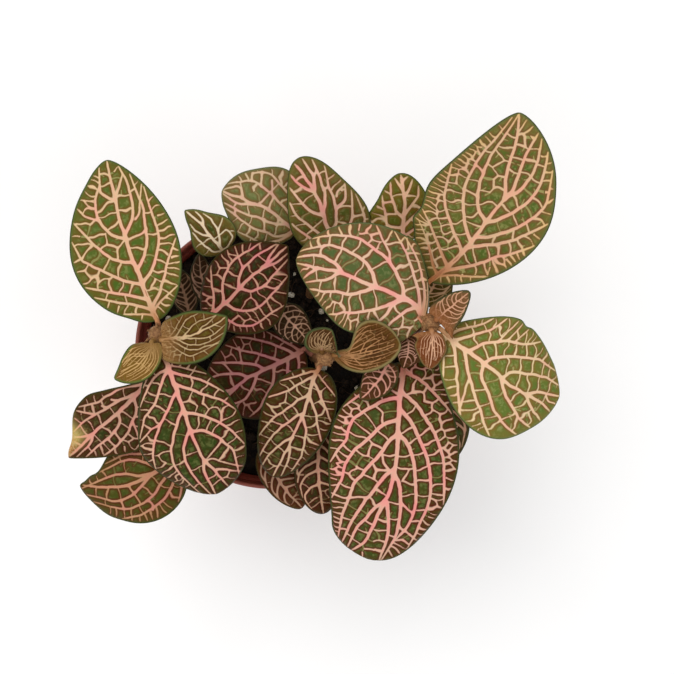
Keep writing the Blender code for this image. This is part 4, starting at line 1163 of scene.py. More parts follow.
    # paler underside
    below = g.mix(g.smooth(main, 0.35, -0.25), rgb(look.get("under", "7C7C52")), rgb(look.get("under_vein", "B88A72")))
    below = g.mix(g.smooth(cloud, 0.35, 0.7, (0, 0.5)), below, rgb(look.get("under2", "7A6246")))
    colour = g.mix(a_("under"), colour, below)
    g.put(g.shader.inputs["Base Color"], colour)
    rough = g.smooth(near, 0.08, -0.08, (look.get("rough", 0.48), 0.6))
    g.put(g.shader.inputs["Roughness"], m_("ADD", rough, m_("MULTIPLY", m_("SUBTRACT", grain, 0.5), 0.2)))
    g.shader.inputs["Specular IOR Level"].default_value = look.get("spec", 0.09)
    pebble = g.noise(2600, 2.0, 0.55, shift + 3)
    height = m_("ADD", m_("MULTIPLY", pebble, 0.35), g.smooth(near_all, -0.05, 0.5, (0, 0.8)))
    g.bump(height, 0.00009, 0.7)
    return g.mat


def plain_material(name, colours, scales, rough, bump=0.00008, spec=0.35):
    """Three colours mixed by two noises, for the potting mix, its crumbs, perlite and fibres."""
    g = Graph(name)
    broad = g.noise(scales[0], 4.0, 0.6)
    small = g.noise(scales[1], 3.0, 0.6, 5.0)
    c = g.mix(g.smooth(broad, 0.38, 0.66), rgb(colours[0]), rgb(colours[1]))
    c = g.mix(g.smooth(small, 0.5, 0.72, (0, 0.7)), c, rgb(colours[2]))
    g.put(g.shader.inputs["Base Color"], c)
    r = g.smooth(small, 0.3, 0.75, (rough[0], rough[1]))
    g.put(g.shader.inputs["Roughness"], r)
    g.shader.inputs["Specular IOR Level"].default_value = spec
    g.bump(small, bump, 0.8)
    return g


# ------------------------------------------------------------------ what each leaf looks like
def look(colours, **more):
    """Colours in the order: cell, near veins, blotches, toward the margin, margin | vein, its mottling, its core |
    walls, their mottling, spurs (also the light speckles in the cells, partly mottling and partly painted highlight) |
    vein at the base.
    """
    names = "cell dark patch shade rim vein vein2 core cross cross2 fine base".split()
    out = dict(zip(names, colours.replace("|", " ").split()))
    assert len(out) == 12
    out.update(more)
    return out


YOUNG = dict(scale=0.62, cells=3.2, rimcells=1.9, midrib=(0.30, 0.14), second=(0.17, 0.11), third=0.10, fourth=0.07, margin=0.4, puff=0.13, spurs=0.0, gaps=0.3, mesh=0.15, jag=0.5)
FINE = dict(YOUNG, second=(0.13, 0.09), midrib=(0.22, 0.12), third=0.06, fourth=0.06, cells=4.2, gaps=0.6, margin=0.3, soft=0.04, ramp=0.06)
LOOKS = {
    "leaf_left_rear": look("465E1B 6A4519 5E5516 62551A 4E5F2A | D6B591 CCB185 DEA589 | D0B38B CAAF81 919458 | BE845A", cells=3.8, rose="E4A08E", gold="DDBC90", rimcells=1.5, gaps=0.16, margin=0.5, second=(0.44, 0.28), midrib=(0.68, 0.36)),
    "leaf_left_front": look("2B3C0A 430C00 402600 3F1E00 353B11 | D4A991 CAA787 DC9987 | C8A587 C2A181 767943 | B87E58", rimcells=1.55, gaps=0.18, margin=0.5, rose="DC8880", second=(0.42, 0.26), midrib=(0.66, 0.34), third=0.21, cells=3.7),
    "leaf_right_front": look("384714 521702 4C3308 4B2501 3A4219 | D9AD97 CFAD91 E1978B | D3A991 CBAB8D 82854D | D0866E", rimcells=1.55, gaps=0.16, margin=0.5, rose="E58A86", midrib=(0.72, 0.5), second=(0.54, 0.36), third=0.26),
    "leaf_right_rear": look("495C1F 704726 71682C 73602C 5A6334 | D3B18C CDB188 DDA588 | CFB18A C9AF84 9F9E60 | B87446", gold="D8B278", rimcells=1.45, rimdeep=2.4, gaps=0.14, margin=0.45, rose="DE9C84", second=(0.5, 0.3), midrib=(0.72, 0.38), base_to=0.3),
    "leaf_right_outer": look("586C29 7A5328 7A6D2A 746528 616F3A | DFC29B D7C293 E7B497 | D9C499 D1C08D A4A468 | C8966A", cells=3.9, rose="E2AC92", gold="E0C598", rimcells=1.5, gaps=0.16, margin=0.5, second=(0.44, 0.28), midrib=(0.62, 0.36), third=0.22),
    "leaf_right_inner": look("48592A 724325 6E5A31 66502B 586537 | DAB59B D4B995 E2A395 | D4B797 CCB18F 8D8B5A | C68262", cells=3.9, gold="D8B282", rimcells=1.55, gaps=0.16, margin=0.5, rose="E4918A", second=(0.5, 0.3), midrib=(0.66, 0.36)),
    "leaf_centre_front": look("2B3503 410800 422400 452000 35340D | C8A98A C2A586 CE9B82 | BEA382 B8A17C 746D3F | B07854", rose="D09482", midrib=(0.52, 0.28), second=(0.36, 0.22), third=0.18, cells=3.1, rimcells=1.8),
    "leaf_left_low_inner": look("212803 460900 361500 380F00 342800 | C4977F B89179 D0837B | B68D73 AC856B 645935 | B06E54", rose="CC7278", midrib=(0.58, 0.3), second=(0.4, 0.25), third=0.21, cells=3.2),
    "leaf_left_low_outer": look("2C3206 441000 422200 442300 3E360D | CAA086 BE9E80 D69486 | BC967C B49278 74693F | B07654", gaps=0.18, rimcells=1.6, rose="DA887E", midrib=(0.66, 0.32), second=(0.42, 0.26), cells=3.3, burn=(0.76, 0.90, 0.30, -0.50)),
    "leaf_rear_middle": look("444E18 683F1C 6A5725 6E5929 5A5C27 | D2B292 CAAE86 DCA292 | C8AC88 C0A680 8B8253 | B07A5C", cells=4.3, rose="DA857F", midrib=(0.62, 0.36), second=(0.48, 0.28)),
    "leaf_rear_left": look("5E6636 76542F 766235 745C33 656A41 | CCB08D C4AE89 D4A68D | C6AE8B BEAC85 898857 | B08462", rose="D2948A", midrib=(0.5, 0.32), second=(0.38, 0.26), third=0.24, cells=3.1, rimcells=2.2),
    "leaf_rear_right": look("545D18 724E1A 766522 746122 5D6627 | E8C19B E0BD95 F0B79B | DEBD97 D6B98F 959157 | B6845C", cells=3.9, rose="DA9C8A", midrib=(0.62, 0.36), second=(0.44, 0.28)),
    "leaf_rear_small": look("37410D 5D3C18 5F4C17 715A25 636A37 | E2D1B1 DCCBA9 E4C5A7 | D8C9A5 D2C19B 8E8F5F | C8AE88", midrib=(0.40, 0.24), second=(0.30, 0.20), third=0.16, cells=4.0, rimcells=2.4, spurs=0.15, mesh=0.2),
    "leaf_front_left": look("3D450C 511E00 52400E 503C12 3E4418 | BB8F6B B18B65 C37F69 | A97F5B 9F7B51 666735 | 9E6C48", gaps=0.16, rimcells=1.6, rose="C07A6C", midrib=(0.58, 0.34), second=(0.42, 0.26), third=0.22, cells=3.6),
    "leaf_centre_low_left": look("2D2C0D 4C0600 411801 461604 36240B | C28F81 B48577 CA8583 | AE816F A27967 5C532F | B07060", rose="C4767E", midrib=(0.7, 0.36), second=(0.45, 0.27), third=0.23),
    "leaf_left_young_inner": look("55460B 472600 5D400B 5F3811 4A5E2C | C4AB7F BAA377 CAA181 | B69F75 AE996D 827941 | A06C46", down=("6E4A20", "A67E50", 0.36), scale=0.7, midrib=(0.28, 0.15), second=(0.17, 0.11), third=0.10, fourth=0.07, cells=3.6, margin=0.5, base_to=0.3, puff=0.15, spurs=0.1, gaps=0.4, mesh=0.18),
    "leaf_centre_young_right": look("53420C 432202 5F3C10 5D3A10 857649 | A87A4E 9C7450 B27856 | 8E6840 84623C 645030 | 985E3E", fan=5, down=("6A4420", "8E6438", 0.26), soft=0.05, ramp=0.07, scale=0.75, midrib=(0.2, 0.12), second=(0.15, 0.10), third=0.08, fourth=0.07, cells=3.8, margin=0.5, puff=0.18, spurs=0.0, gaps=0.5, mesh=0.18, lip="6C6640", rim_at=0.9),
    "leaf_left_young_outer": look("6C6424 65440F 7F621F 75521F 54682A | C29C66 BA9660 C89E70 | B08C58 A88650 86743A | B07C4C", fan=5, down=("7A5A2C", "967444", 0.42), **FINE),
    "leaf_right_young_rear": look("6E4A2C 653915 7E4C2E 6A5030 4A4A2A | CA9A7A BE8E70 D09880 | B0805E A47858 886C47 | A06A48", pairs=6, down=("7A4824", "A47048", 0.36), **dict(FINE, second=(0.18, 0.12), midrib=(0.28, 0.15), third=0.09, cells=3.0, gaps=0.25)),
    "leaf_right_young_front": look("754821 633213 7B4425 713C1B 7B663B | CEA080 C29476 D69C80 | B48864 A87E5E 846943 | A8744E", fan=4, down=("80502A", "A87850", 0.26), **FINE),
    "leaf_right_bud_left": look("453611 3B1C02 533111 512A11 493C1B | DA9C88 CC907A E2998C | C08C76 B4826A 6E5939 | B0745A", pairs=4, **dict(YOUNG, second=(0.21, 0.13), midrib=(0.3, 0.17))),
    "leaf_right_bud_right": look("4B3817 412204 553415 512C11 493C1B | C0907A B48670 C88C7C | A67E66 9A745C 6A5739 | 966444", pairs=7, down=("5A3A22", "80583A", 0.2), **dict(FINE, second=(0.16, 0.10), midrib=(0.24, 0.13))),
    "leaf_centre_young_left": look("473611 3B2003 513015 4B2C0D 4C5A32 | A4835D 987957 AC7F61 | 90714D 886945 645331 | 8E5E3C", fan=5, down=("5A3E18", "7E5C34", 0.26), **FINE),
    "leaf_left_base": look("2F2605 2B1402 351E03 311A03 31260B | 8C6D55 84694F 906955 | 7C6149 745B43 4C4527 | 7E5640", **YOUNG),
    "leaf_right_low_rear": look("535C1F 453004 554C15 514613 4D461F | C6A17D BC9D73 CC9B7F | B8996D B09164 827D4B | AE7C58", **YOUNG),
    "leaf_right_low_front": look("374B14 432002 413511 3F2E0B 413E1B | C69D7F BE9977 CE917B | BA9777 B2916D 767341 | B07A58", pairs=5, midrib=(0.52, 0.3), second=(0.36, 0.23), third=0.2),
    "leaf_centre_low_front": look("2B2E06 440900 421F00 421900 382805 | C69F81 BC9979 D0957F | B48F71 AC8969 685B35 | A4704E", pairs=5, midrib=(0.52, 0.28), second=(0.34, 0.2), third=0.18, cells=3.2),
    "leaf_front": look("363006 491000 4C2405 4C2002 43300B | B08D73 A68769 B67D6B | 9C7B61 927357 6A5D39 | A4724E", pairs=5, midrib=(0.46, 0.24), second=(0.3, 0.19), third=0.17, cells=3.1),
    "leaf_rear_inner": look("392A0B 311803 41240F 3D200B 372A13 | CDA286 C49A7E CE9484 | A88468 A07C60 5A4D31 | 98664E", pairs=4, **dict(YOUNG, second=(0.18, 0.11), midrib=(0.26, 0.15))),
    "leaf_rear_low": look("332607 2D1402 392007 351C04 31240B | 9E7B67 94735D A47365 | 886D55 7E654F 50472B | 865A44", **YOUNG),
}


for index, (name, spec) in enumerate(LEAVES.items()):
    obj = make_leaf(name, spec, LOOKS[name])
    obj.data.materials.append(leaf_material(name, LOOKS[name], index))
    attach(obj, "root")
    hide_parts(name)


# ------------------------------------------------------------------ stems
def hairs(rng, anchors, count, long, thick):
    """Short tapering hairs standing on given points: (point, outward) pairs."""
    verts, tris = [], []
    for _ in range(count):
        p, n = anchors[rng.randrange(len(anchors))]
        d = unit(n + np.array([rng.uniform(-0.5, 0.5) for _ in range(3)]))
        side = unit(np.cross(d, [0.3, 0.5, 0.8]))
        other = np.cross(d, side)
        L = long * rng.uniform(0.5, 1.1)
        tip = p + d * L + side * rng.uniform(-0.15, 0.15) * L
        i = len(verts)
        for a in range(3):
            ang = a * 2 * math.pi / 3
            verts.append(p - d * 0.05 + (side * math.cos(ang) + other * math.sin(ang)) * thick)
        verts.append(tip)
        tris += [(i, i + 1, i + 3), (i + 1, i + 2, i + 3), (i + 2, i, i + 3), (i + 2, i + 1, i)]
    return np.array(verts), np.array(tris)


def stem_material():
    g = Graph("mat_stem")
    n1 = g.noise(420, 4.0, 0.6)
    n2 = g.noise(1900, 3.0, 0.6, 4.0)
    up = g.attr("along")
    c = g.mix(g.smooth(up, 0.1, 0.9), rgb("5A3C26"), rgb("8C5636"))
    c = g.mix(g.smooth(n1, 0.4, 0.65, (0, 0.7)), c, rgb("6A5630"))
    c = g.mix(g.smooth(n2, 0.45, 0.7, (0, 0.6)), c, rgb("A8744E"))
    c = g.mix(g.smooth(up, 0.86, 0.96, (0, 0.7)), c, g.mix(g.smooth(n2, 0.4, 0.6), rgb("6A4826"), rgb("9E764A")))
    c = g.mix(g.attr("hair"), c, rgb("966C44"))
    g.put(g.shader.inputs["Base Color"], c)
    g.put(g.shader.inputs["Roughness"], g.smooth(n2, 0.3, 0.7, (0.5, 0.75)))
    g.shader.inputs["Specular IOR Level"].default_value = 0.3
    g.bump(n2, 0.00012, 0.8)
    return g.mat


STEM_MAT = stem_material()
for number, (name, points) in enumerate(STEMS.items()):
    rng = random.Random(40 + number)
    x, y, z = points[0]
    path = spline([(x, y, z - 7.5), (x, y, z - 1.0)] + [tuple(p) for p in points[1:]], 8)
    z0, z1 = points[0][2], points[-1][2]
    nodes_z = sorted({spec["at"][1] for spec in LEAVES.values() if spec["at"][0] == name})
    radii = []
    for p in path:
        f = max(0.0, (p[2] - z0) / (z1 - z0))
        r = lerp(STEM_R0, STEM_R1, f)
        r *= 1 + 0.16 * sum(math.exp(-((p[2] - zz) / 1.3) ** 2) for zz in nodes_z)
        if z1 > 95:     # the swollen growing tip
            r += 1.45 * math.exp(-((p[2] - z1 + 1.6) / 2.1) ** 2)
        r *= 1 + 0.04 * math.sin(p[2] * 1.9) + rng.uniform(-0.02, 0.02)
        radii.append(r)
    tip = path[-1]
    up = unit(path[-1] - path[-3])
    path = np.vstack([path, tip + up * 0.5, tip + up * 0.95])
    radii += [radii[-1] * 0.72, radii[-1] * 0.3]
    V, Q, T, share = tube(path, radii, 16)
    anchors = []
    sides = 16
    for i in range(len(path)):
        if path[i][2] < z0 + 1:
            continue
        for j in range(sides):
            v = V[i * sides + j]
            anchors.append((v, unit(v - path[i])))
    if z1 > 95:
        for k in range(5):
            a = 2 * math.pi * (k + rng.uniform(-0.25, 0.25)) / 5
            lean = rng.uniform(0.6, 1.3)
            d = unit(np.array([math.cos(a) * lean, math.sin(a) * lean, 1.0]))
            foot = tip - up * 1.4 + np.array([math.cos(a), math.sin(a), 0]) * 1.1
            long = rng.uniform(2.2, 3.2)
            run = [foot + d * long * f + np.array([math.cos(a), math.sin(a), -0.4]) * 0.5 * f * f for f in np.linspace(0, 1, 9)]
            thick = rng.uniform(0.62, 0.85)
            rad = [thick * (0.55 + 0.45 * math.sin(math.pi * min(f * 1.5, 0.5))) * max(1 - f ** 2.6, 0.12) for f in np.linspace(0, 1, 9)]
            bv, bq, bt, _ = tube(np.array(run), rad, 10)
            for i in range(9):
                for j in range(10):
                    anchors.append((bv[i * 10 + j], unit(bv[i * 10 + j] - run[i])))
            Q = np.vstack([Q, bq + len(V)])
            T = np.vstack([T, bt + len(V)])
            V = np.vstack([V, bv])
            share = np.concatenate([share, np.full(len(bv), 0.97)])
    many = int(14 * (z1 - z0))
    HV, HT = hairs(rng, anchors, many, 0.6, 0.03)
    top_anchors = [a for a in anchors if a[0][2] > z1 - 5]
    HV2, HT2 = hairs(rng, top_anchors, 520 if z1 > 95 else 50, 0.65, 0.03)
    verts = np.vstack([V, HV, HV2])
    faces = [Q, T, HT + len(V), HT2 + len(V) + len(HV)]
    along = np.concatenate([share, np.full(len(HV) + len(HV2), 0.9)])
    hair = np.concatenate([np.zeros(len(V)), np.ones(len(HV) + len(HV2))])
    obj = mesh_object("vis_" + name, verts, faces, {"along": along, "hair": hair})
    obj.data.materials.append(STEM_MAT)
    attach(obj, "root")
    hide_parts(name)


# ------------------------------------------------------------------ potting mix
def outer_radius(z):
    return lerp(BASE_R + 1.2, RIM_R - 1.3, (z - 3.0) / (POT_H - COLLAR_H - 3.0))


TOP_Z = POT_H - COLLAR_H
INNER_TOP = outer_radius(TOP_Z) - WALL
INNER_LOW = outer_radius(5.0) - WALL


def inner_radius(z):
    return lerp(INNER_LOW, INNER_TOP, (z - 5.0) / (TOP_Z - 5.0))


def make_soil():
    rng = random.Random(5)
    rings, sides = 74, 220
    edge_r = inner_radius(SOIL_TOP) - GAP
    profile = [(0, 0.9), (14, 0.5), (27, -0.1), (edge_r - 2.0, -0.7), (edge_r, -1.6)]
    pr, pz = zip(*profile)
    verts = [(0, 0, SOIL_TOP + 0.9)]
    for i in range(1, rings + 1):
        r = edge_r * (i / rings)
        for j in range(sides):
            a = 2 * math.pi * j / sides
            px, py = r * math.cos(a), r * math.sin(a)
            z = SOIL_TOP + float(np.interp(r, pr, pz))
            q = Vector((px, py, 0))
            fade = min(1.0, (edge_r - r) / 1.2)
            z += fade * (0.9 * noise.noise(q * 0.12) + 0.7 * noise.noise(q * 0.45 + Vector((3, 1, 0)))
                         + 0.45 * noise.noise(q * 1.3 + Vector((9, 4, 2))) + 0.2 * noise.noise(q * 3.1))
            verts.append((px, py, z - 0.25))
    rows = [(inner_radius(SOIL_TOP - 3.0) - GAP, SOIL_TOP - 3.0), (inner_radius(40) - GAP, 40.0), (inner_radius(5.4) - GAP, 5.4),
            (inner_radius(5.4) - 1.7, FLOOR + 1.6), (inner_radius(5.4) - 3.9, FLOOR + GAP)]
    for r, z in rows:
        for j in range(sides):
            a = 2 * math.pi * j / sides
            verts.append((r * math.cos(a), r * math.sin(a), z))
    verts.append((0, 0, FLOOR + GAP))
    total = rings + len(rows)
    quads, tris = [], []
    for j in range(sides):
        k = (j + 1) % sides
        tris.append((0, 1 + j, 1 + k))
        for i in range(total - 1):
            a, b = 1 + i * sides, 1 + (i + 1) * sides
            quads.append((a + j, b + j, b + k, a + k))
        last = 1 + (total - 1) * sides
        tris.append((last + k, last + j, len(verts) - 1))
    obj = mesh_object("vis_potting_mix", verts, [np.array(quads), np.array(tris)])
    g = plain_material("mat_peat", ("0F0A07", "1A110B", "2E2014"), (160, 900), (0.85, 1.0), 0.0006, 0.2)
    obj.data.materials.append(g.mat)
    return obj, edge_r, pr, pz


def lump(rng, centre, size, rough, flat=0.7, detail=2):
    """A rough grain: a subdivided icosahedron pushed about by noise."""
    phi = (1 + 5 ** 0.5) / 2
    v = [(-1, phi, 0), (1, phi, 0), (-1, -phi, 0), (1, -phi, 0), (0, -1, phi), (0, 1, phi), (0, -1, -phi), (0, 1, -phi), (phi, 0, -1), (phi, 0, 1), (-phi, 0, -1), (-phi, 0, 1)]
    f = [(0, 11, 5), (0, 5, 1), (0, 1, 7), (0, 7, 10), (0, 10, 11), (1, 5, 9), (5, 11, 4), (11, 10, 2), (10, 7, 6), (7, 1, 8), (3, 9, 4), (3, 4, 2), (3, 2, 6), (3, 6, 8), (3, 8, 9),
         (4, 9, 5), (2, 4, 11), (6, 2, 10), (8, 6, 7), (9, 8, 1)]
    v = [unit(np.array(p, float)) for p in v]
    for _ in range(detail - 1):
        cache, nf = {}, []

        def mid(a, b):
            key = (min(a, b), max(a, b))
            if key not in cache:
                cache[key] = len(v)
                v.append(unit(v[a] + v[b]))
            return cache[key]
        for a, b, c in f:
            x, y, z = mid(a, b), mid(b, c), mid(c, a)
            nf += [(a, x, z), (b, y, x), (c, z, y), (x, y, z)]
        f = nf
    off = Vector((rng.uniform(0, 90), rng.uniform(0, 90), rng.uniform(0, 90)))
    turn = rng.uniform(0, 6.28)
    stretch = rng.uniform(0.7, 1.4)
    out = []
    for p in v:
        k = 1 + rough * noise.noise(Vector(p) * 1.7 + off) + rough * 0.5 * noise.noise(Vector(p) * 4.1 + off)
        q = p * k * size * np.array([stretch, 1.0, flat])
        q = np.array([q[0] * math.cos(turn) - q[1] * math.sin(turn), q[0] * math.sin(turn) + q[1] * math.cos(turn), q[2]])
        out.append(centre + q)
    return np.array(out), np.array(f)


def grains(name, rng, count, low, high, rough, edge_r, pr, pz, mat, sink, flat):
    verts, tris, at = [], [], 0
    for _ in range(count):
        r = edge_r * math.sqrt(rng.random()) * 0.985
        a = rng.uniform(0, 2 * math.pi)
        size = rng.uniform(low, high)
        r = min(r, edge_r - size - 0.3)
        c = np.array([r * math.cos(a), r * math.sin(a), SOIL_TOP + float(np.interp(r, pr, pz)) + sink * size])
        v, f = lump(rng, c, size, rough, flat, 1 if size < 0.7 else 2)
        verts.append(v)
        tris.append(f + at)
        at += len(v)
    obj = mesh_object(name, np.concatenate(verts), [np.concatenate(tris)], None, smooth=False)
    obj.data.materials.append(mat)
    return obj


soil, EDGE_R, PR, PZ = make_soil()
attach(soil, "root")
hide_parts("potting_mix")
crumb_mat = plain_material("mat_crumb", ("140D08", "22170F", "3C2A1B"), (300, 1500), (0.85, 1.0), 0.0003, 0.2).mat
perlite_mat = plain_material("mat_perlite", ("D8D2C4", "B9B09C", "8E8370"), (500, 2200), (0.7, 0.95), 0.00025, 0.25).mat
for piece in (grains("vis_peat_crumbs", random.Random(8), 620, 0.35, 1.5, 0.55, EDGE_R, PR, PZ, crumb_mat, 0.2, 0.75),
              grains("vis_perlite", random.Random(9), 90, 0.4, 1.15, 0.35, EDGE_R, PR, PZ, perlite_mat, 0.35, 0.85)):
    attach(piece, "root")


def make_fibres():
    rng = random.Random(12)
    vs, qs, ts, at = [], [], [], 0
    for _ in range(110):
        r = (EDGE_R - 4) * math.sqrt(rng.random())
        a = rng.uniform(0, 2 * math.pi)
        c = np.array([r * math.cos(a), r * math.sin(a), SOIL_TOP + float(np.interp(r, PR, PZ)) + 0.3])
        d = rng.uniform(0, 2 * math.pi)
        L = rng.uniform(2.0, 7.0)
        pts = []
        for k in range(5):
            f = k / 4 - 0.5
            pts.append(c + np.array([math.cos(d) * L * f, math.sin(d) * L * f, 0.5 * math.cos(f * 3) + rng.uniform(-0.1, 0.3)]) + np.array([rng.uniform(-.5, .5), rng.uniform(-.5, .5), 0]))
        path = spline(pts, 3)
        keep = [p for p in path if math.hypot(p[0], p[1]) < EDGE_R - 0.4]
        if len(keep) < 4:
            continue
        path = np.array(keep)
        v, q, t, _s = tube(path, np.linspace(0.16, 0.07, len(path)), 5)
        vs.append(v)
        qs.append(q + at)
        ts.append(t + at)
        at += len(v)
    obj = mesh_object("vis_peat_fibres", np.concatenate(vs), [np.concatenate(qs), np.concatenate(ts)])
    obj.data.materials.append(plain_material("mat_fibre", ("382514", "26190F", "543D26"), (200, 1500), (0.7, 0.95), 0.0001, 0.2).mat)
    return obj


fibres = make_fibres()
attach(fibres, "root")


# ------------------------------------------------------------------ pot
def make_pot():
    rng = random.Random(3)
    top = TOP_Z
    prof = [(0, FLOOR), (INNER_LOW - 3.2, FLOOR), (INNER_LOW - 1.6, FLOOR + 0.35), (INNER_LOW - 0.9, FLOOR + 1.0), (INNER_LOW - 0.2, FLOOR + 2.2), (INNER_LOW, 5.0)]
    for k in range(1, 14):
        prof.append((lerp(INNER_LOW, INNER_TOP, k / 14), lerp(5.0, top, k / 14)))
    prof += [(INNER_TOP, top), (INNER_TOP + 0.2, top + 0.5), (RIM_R - 1.6, top + 0.9), (RIM_R - 1.5, top + 1.3), (RIM_R - 1.38, top + 3.5), (RIM_R - 1.27, POT_H - 0.9),
             (RIM_R - 1.22, POT_H - 0.45), (RIM_R - 1.08, POT_H - 0.15), (RIM_R - 0.88, POT_H), (RIM_R - 0.42, POT_H), (RIM_R - 0.18, POT_H - 0.12), (RIM_R - 0.03, POT_H - 0.4), (RIM_R, POT_H - 0.8),
             (RIM_R - 0.04, POT_H - 1.9), (RIM_R - 0.14, POT_H - 2.15), (RIM_R - 0.15, POT_H - 2.6), (RIM_R - 0.12, top + 1.2), (RIM_R - 0.16, top + 0.5), (RIM_R - 0.32, top + 0.15), (RIM_R - 0.6, top),
             (outer_radius(top) + 0.12, top - 0.1), (outer_radius(top) + 0.02, top - 0.5)]
    steps = 26
    for k in range(1, steps):
        z = lerp(top - 0.5, 3.0, k / steps)
        prof.append((outer_radius(z), z))
    prof += [(outer_radius(3.0), 3.0), (BASE_R + 0.95, 2.0), (BASE_R + 0.6, 1.0), (BASE_R + 0.3, 0.35), (BASE_R, 0.0), (BASE_R - 1.6, 0.0), (BASE_R - 2.0, 0.4), (BASE_R - 3.2, 0.45), (BASE_R - 3.6, 0.3), (0, 0.3)]
    sides = 168
    verts = [(0, 0, prof[0][1])]
    n = len(prof)
    for i in range(1, n - 1):
        r, z = prof[i]
        for j in range(sides):
            a = 2 * math.pi * j / sides
            rr = r
            if i > 45 and z < 62 and z > 4 and r > 25:      # flutes pressed into the lower wall
                f = (j % 14) / 14
                dip = math.exp(-((f - 0.5) / 0.16) ** 2)
                rr = r - 0.35 * dip * min(1, (62 - z) / 4, (z - 4) / 3)
            verts.append((rr * math.cos(a), rr * math.sin(a), z))
    verts.append((0, 0, prof[-1][1]))
    quads, tris = [], []
    for j in range(sides):
        k = (j + 1) % sides
        tris.append((0, 1 + j, 1 + k))
        for i in range(n - 3):
            a, b = 1 + i * sides, 1 + (i + 1) * sides
            quads.append((a + j, b + j, b + k, a + k))
        last = 1 + (n - 3) * sides
        tris.append((last + j, len(verts) - 1, last + k))
    obj = mesh_object("vis_pot", verts, [np.array(quads), np.array(tris)])
    # drainage holes
    cutters = []
    for i in range(DRAIN_N):
        a = 2 * math.pi * (i + 0.37) / DRAIN_N
        ring = 28
        cv = []
        for z in (-2.0, FLOOR + 2.0):
            for j in range(ring):
                b = 2 * math.pi * j / ring
                cv.append((DRAIN_RING * math.cos(a) + DRAIN_R * math.cos(b), DRAIN_RING * math.sin(a) + DRAIN_R * math.sin(b), z))
        cq = [(j, (j + 1) % ring, ring + (j + 1) % ring, ring + j) for j in range(ring)]
        c = bpy.data.meshes.new(f"cut_{i}")
        c.from_pydata([tuple(v * MM for v in p) for p in cv], [], cq + [tuple(range(ring))[::-1], tuple(range(ring, 2 * ring))])
        co = bpy.data.objects.new(f"cut_{i}", c)
        COLLECTION.objects.link(co)
        mod = obj.modifiers.new(co.name, "BOOLEAN")
        mod.operation = "DIFFERENCE"
        mod.solver = "EXACT"
        mod.object = co
        cutters.append(co)
    bpy.context.view_layer.update()
    deps = bpy.context.evaluated_depsgraph_get()
    mesh = bpy.data.meshes.new_from_object(obj.evaluated_get(deps))
    obj.modifiers.clear()
    obj.data = mesh
    mesh.name = "vis_pot"
    for co in cutters:
        data = co.data
        bpy.data.objects.remove(co)
        bpy.data.meshes.remove(data)
    mesh.polygons.foreach_set("use_smooth", np.full(len(mesh.polygons), True, bool))
    mesh.set_sharp_from_angle(angle=math.radians(42))
    return obj


def pot_material():
    g = Graph("mat_pot")
    broad = g.noise(60, 3.0, 0.55)
    small = g.noise(900, 3.0, 0.6, 4.0)
    pits = g.noise(3200, 2.0, 0.6, 7.0)
    geo = g.node("ShaderNodeSeparateXYZ")
    g.put(geo.inputs[0], g.place())
    z = geo.outputs[2]
    c = g.mix(g.smooth(broad, 0.35, 0.7), rgb("7E3426"), rgb("6E2A20"))
    c = g.mix(g.smooth(small, 0.52, 0.75, (0, 0.35)), c, rgb("96503C"))
    c = g.mix(g.smooth(z, 0.070, 0.0745, (0, 0.25)), c, rgb("A05A44"))          # lighter band round the top of the rim
    dust = g.math("MULTIPLY", g.smooth(z, 0.012, 0.001), g.smooth(small, 0.35, 0.7))
    c = g.mix(g.math("MULTIPLY", dust, 0.5), c, rgb("8F6E58"))                   # dust near the foot
    g.put(g.shader.inputs["Base Color"], c)
    g.put(g.shader.inputs["Roughness"], g.smooth(small, 0.3, 0.8, (0.36, 0.55)))
    g.shader.inputs["Specular IOR Level"].default_value = 0.45
    g.bump(g.math("ADD", g.math("MULTIPLY", pits, 0.6), small), 0.00004, 0.6)
    return g.mat


pot = make_pot()
pot.data.materials.clear()
pot.data.materials.append(pot_material())
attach(pot, "root")
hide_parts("pot")

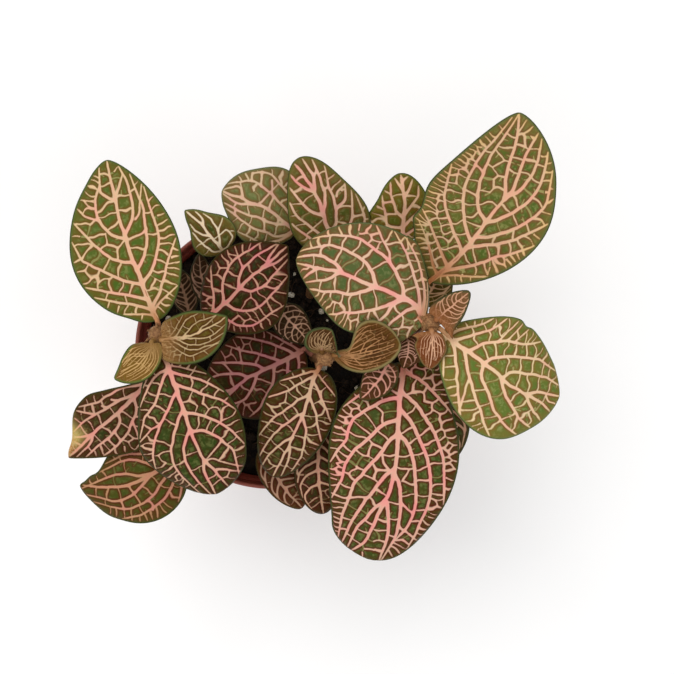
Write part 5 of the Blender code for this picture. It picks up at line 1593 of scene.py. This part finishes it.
# ------------------------------------------------------------------ floor, light and camera
floor_mesh = bpy.data.meshes.new("floor")
floor_mesh.from_pydata([(-2.5, -2.5, 0), (2.5, -2.5, 0), (2.5, 2.5, 0), (-2.5, 2.5, 0)], [], [(0, 1, 2, 3)])
floor = bpy.data.objects.new("floor", floor_mesh)
COLLECTION.objects.link(floor)
g = Graph("mat_floor")
n = g.noise(8, 2.0, 0.5)
g.put(g.shader.inputs["Base Color"], g.mix(g.smooth(n, 0.3, 0.7), rgb("FDFDFD"), rgb("FAFAFA")))
g.shader.inputs["Roughness"].default_value = 0.8
g.shader.inputs["Specular IOR Level"].default_value = 0.1
floor.data.materials.append(g.mat)
floor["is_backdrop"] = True


def area_light(name, at, aim, size, power, colour=(1, 1, 1)):
    data = bpy.data.lights.new(name, "AREA")
    data.shape = "DISK"
    data.size = size
    data.energy = power
    data.color = colour
    obj = bpy.data.objects.new(name, data)
    COLLECTION.objects.link(obj)
    obj.location = at
    obj.rotation_euler = (Vector(aim) - Vector(at)).to_track_quat("-Z", "Y").to_euler()
    return obj


centre = (Vector(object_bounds()[0]) + Vector(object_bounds()[1])) / 2
area_light("key", (-0.35, 0.55, 1.15), centre, 1.1, 7.5, (1.0, 0.985, 0.96))
area_light("fill", (0.8, -0.5, 0.9), centre, 1.0, 3, (0.98, 0.99, 1.0))
area_light("back", (-0.7, -0.7, 0.8), centre, 0.9, 2.5)
world = bpy.data.worlds.new("studio")
world.use_nodes = True
world.node_tree.nodes["Background"].inputs["Color"].default_value = (1.0, 1.0, 1.0, 1)
world.node_tree.nodes["Background"].inputs["Strength"].default_value = 0.64
bpy.context.scene.world = world
bpy.context.scene.view_settings.view_transform = "Standard"

cam_data = bpy.data.cameras.new("camera")
cam_data.sensor_width = 36.0
cam_data.lens = 1221.4 / 674 * 36.0
cam = bpy.data.objects.new("camera", cam_data)
COLLECTION.objects.link(cam)
cam.location = (0.0196, 0.00427, 0.450)
cam.rotation_euler = (0.0, 0.0, 0.0)
bpy.context.scene.camera = cam
